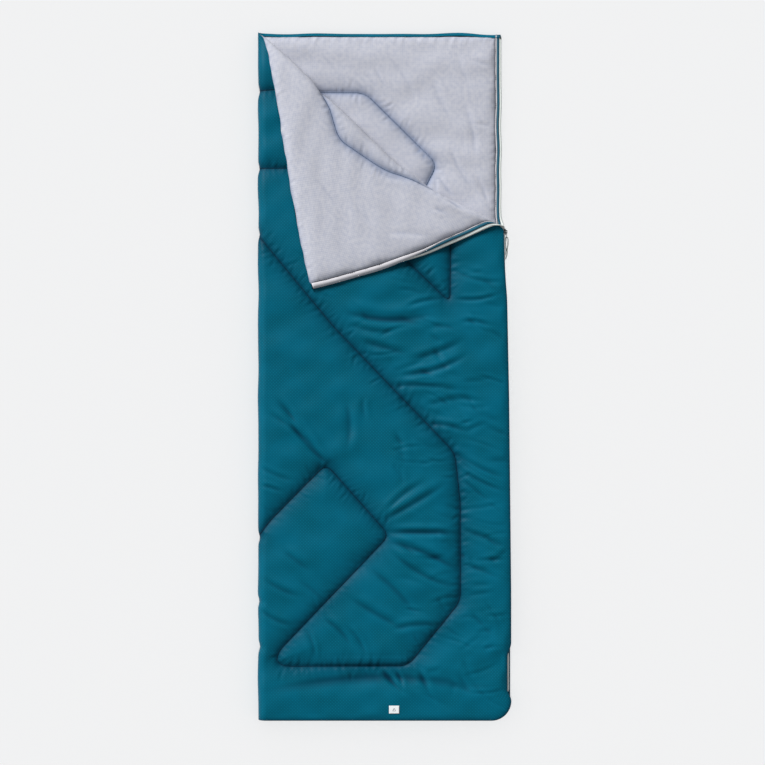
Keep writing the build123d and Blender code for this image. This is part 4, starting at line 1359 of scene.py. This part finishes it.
x0, y0, x1, y1 = label_low[0] + 1.6, label_low[1] + 1.6, label_high[0] - 1.6, label_high[1] - 1.6
frame_stitches = bars_along("label_frame_stitches", [on_label([(x0, y0), (x1, y0), (x1, y1), (x0, y1)])],
                            label_thread, 2.0, 1.5, 0.6, 0.5)
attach(frame_stitches, "cover")
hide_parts("label_stitching")
label_middle_x, label_middle_y = (x0 + x1) / 2, (y0 + y1) / 2
tent = [(label_middle_x - 4.2, label_middle_y - 3.6), (label_middle_x + 4.2, label_middle_y - 3.6),
        (label_middle_x, label_middle_y + 4.2)]
tent_mark = bars_along("label_tent_mark", [on_label(tent)], shell_thread, 1.0, 1.3, 1.1, 0.5)
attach(tent_mark, "cover")

tape_low, tape_high = box_mm("side_seam_tape")
tape_x, tape_y = np.meshgrid(np.linspace(tape_low[0] + 10, tape_high[0] + 8, 4),
                             np.linspace(tape_low[1], tape_high[1], 300))
tape_points = dropped(lower_lining_surface, tape_x.ravel(), tape_y.ravel(), lift=0.6, keep_all=True)
side_tape = mesh_object("side_seam_tape_cloth", tape_points, grid_faces(*tape_x.shape), binding_grosgrain,
                        np.stack([tape_x, tape_y], -1).reshape(-1, 2))
solid = side_tape.modifiers.new("thickness", "SOLIDIFY")
solid.thickness, solid.offset = 0.5 * MM, 0
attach(side_tape, "lower_panel")
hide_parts("side_seam_tape")


# %% Cord and knot
def tube(name, line, radius, material, sides=12, closed=False):
    """A round tube along a line of points, with its length and girth as its UV map."""
    steps = np.roll(line, -1, 0) - np.roll(line, 1, 0) if closed else np.gradient(line, axis=0)
    tangents = steps / np.linalg.norm(steps, axis=1, keepdims=True)
    normal = np.cross(tangents[0], [0.3, 0.5, 0.81])
    rings = []
    for place, tangent in zip(line, tangents):
        normal = normal - tangent * (normal @ tangent)
        normal /= np.linalg.norm(normal)
        side = np.cross(tangent, normal)
        angles = np.linspace(0, 2 * math.pi, sides, endpoint=False)[:, None]
        rings.append(place + radius * (np.cos(angles) * normal + np.sin(angles) * side))
    rows = len(line)
    faces = grid_faces(rows, sides, closed=True).tolist()
    if closed:
        ends = (rows - 1) * sides
        drift = int(np.argmin(np.linalg.norm(rings[0] - rings[-1][0], axis=1)))
        faces += [(ends + i, ends + (i + 1) % sides, (i + 1 + drift) % sides, (i + drift) % sides)
                  for i in range(sides)]
    else:
        faces += [tuple(range(sides - 1, -1, -1)), tuple((rows - 1) * sides + i for i in range(sides))]
    run = np.concatenate([[0], np.cumsum(np.linalg.norm(np.diff(line, axis=0), axis=1))])
    girth = np.arange(sides) * 2 * math.pi * radius / sides
    mesh = bpy.data.meshes.new(name)
    mesh.from_pydata((np.concatenate(rings) * MM).tolist(), [], faces)
    uv = np.stack(np.meshgrid(girth, run), -1).reshape(-1, 2) * MM
    loops = np.zeros(len(mesh.loops), np.int32)
    mesh.loops.foreach_get("vertex_index", loops)
    mesh.uv_layers.new(name="cloth").data.foreach_set("uv", uv[loops].astype(np.float32).ravel())
    mesh.shade_smooth()
    mesh.materials.append(material)
    piece = bpy.data.objects.new(name, mesh)
    bpy.context.scene.collection.objects.link(piece)
    return piece


cord_piece = tube("pull_cord_braid", cord_line, CORD_DIAMETER / MM / 2, cord_braid)
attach(cord_piece, "pull")
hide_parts("pull_cord")
knot_middle = sum(box_mm("pull_cord_knot")) / 2
angles = np.linspace(0, 2 * math.pi, 90, endpoint=False)
knot_line = knot_middle + np.stack([0.78 * (np.sin(angles) + 2 * np.sin(2 * angles)) * 0.75,
                                    0.95 * (np.cos(angles) - 2 * np.cos(2 * angles)),
                                    -1.3 * np.sin(3 * angles)], -1)
knot_piece = tube("pull_cord_knot_turns", knot_line, 1.15, cord_braid, closed=True)
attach(knot_piece, "pull")
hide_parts("pull_cord_knot")

# %% [markdown]
# ## Slider and pull
# Both are small zinc castings that the frame already holds in their true shape, so they only get their
# finish.

# %% Metal finishes
for node, finish in (("zip_slider", slider_zinc), ("slider_pull", pull_zinc)):
    part = frame["nodes"][node]
    part.data.materials.clear()
    part.data.materials.append(finish)

# %% Finish
bpy.context.view_layer.update()
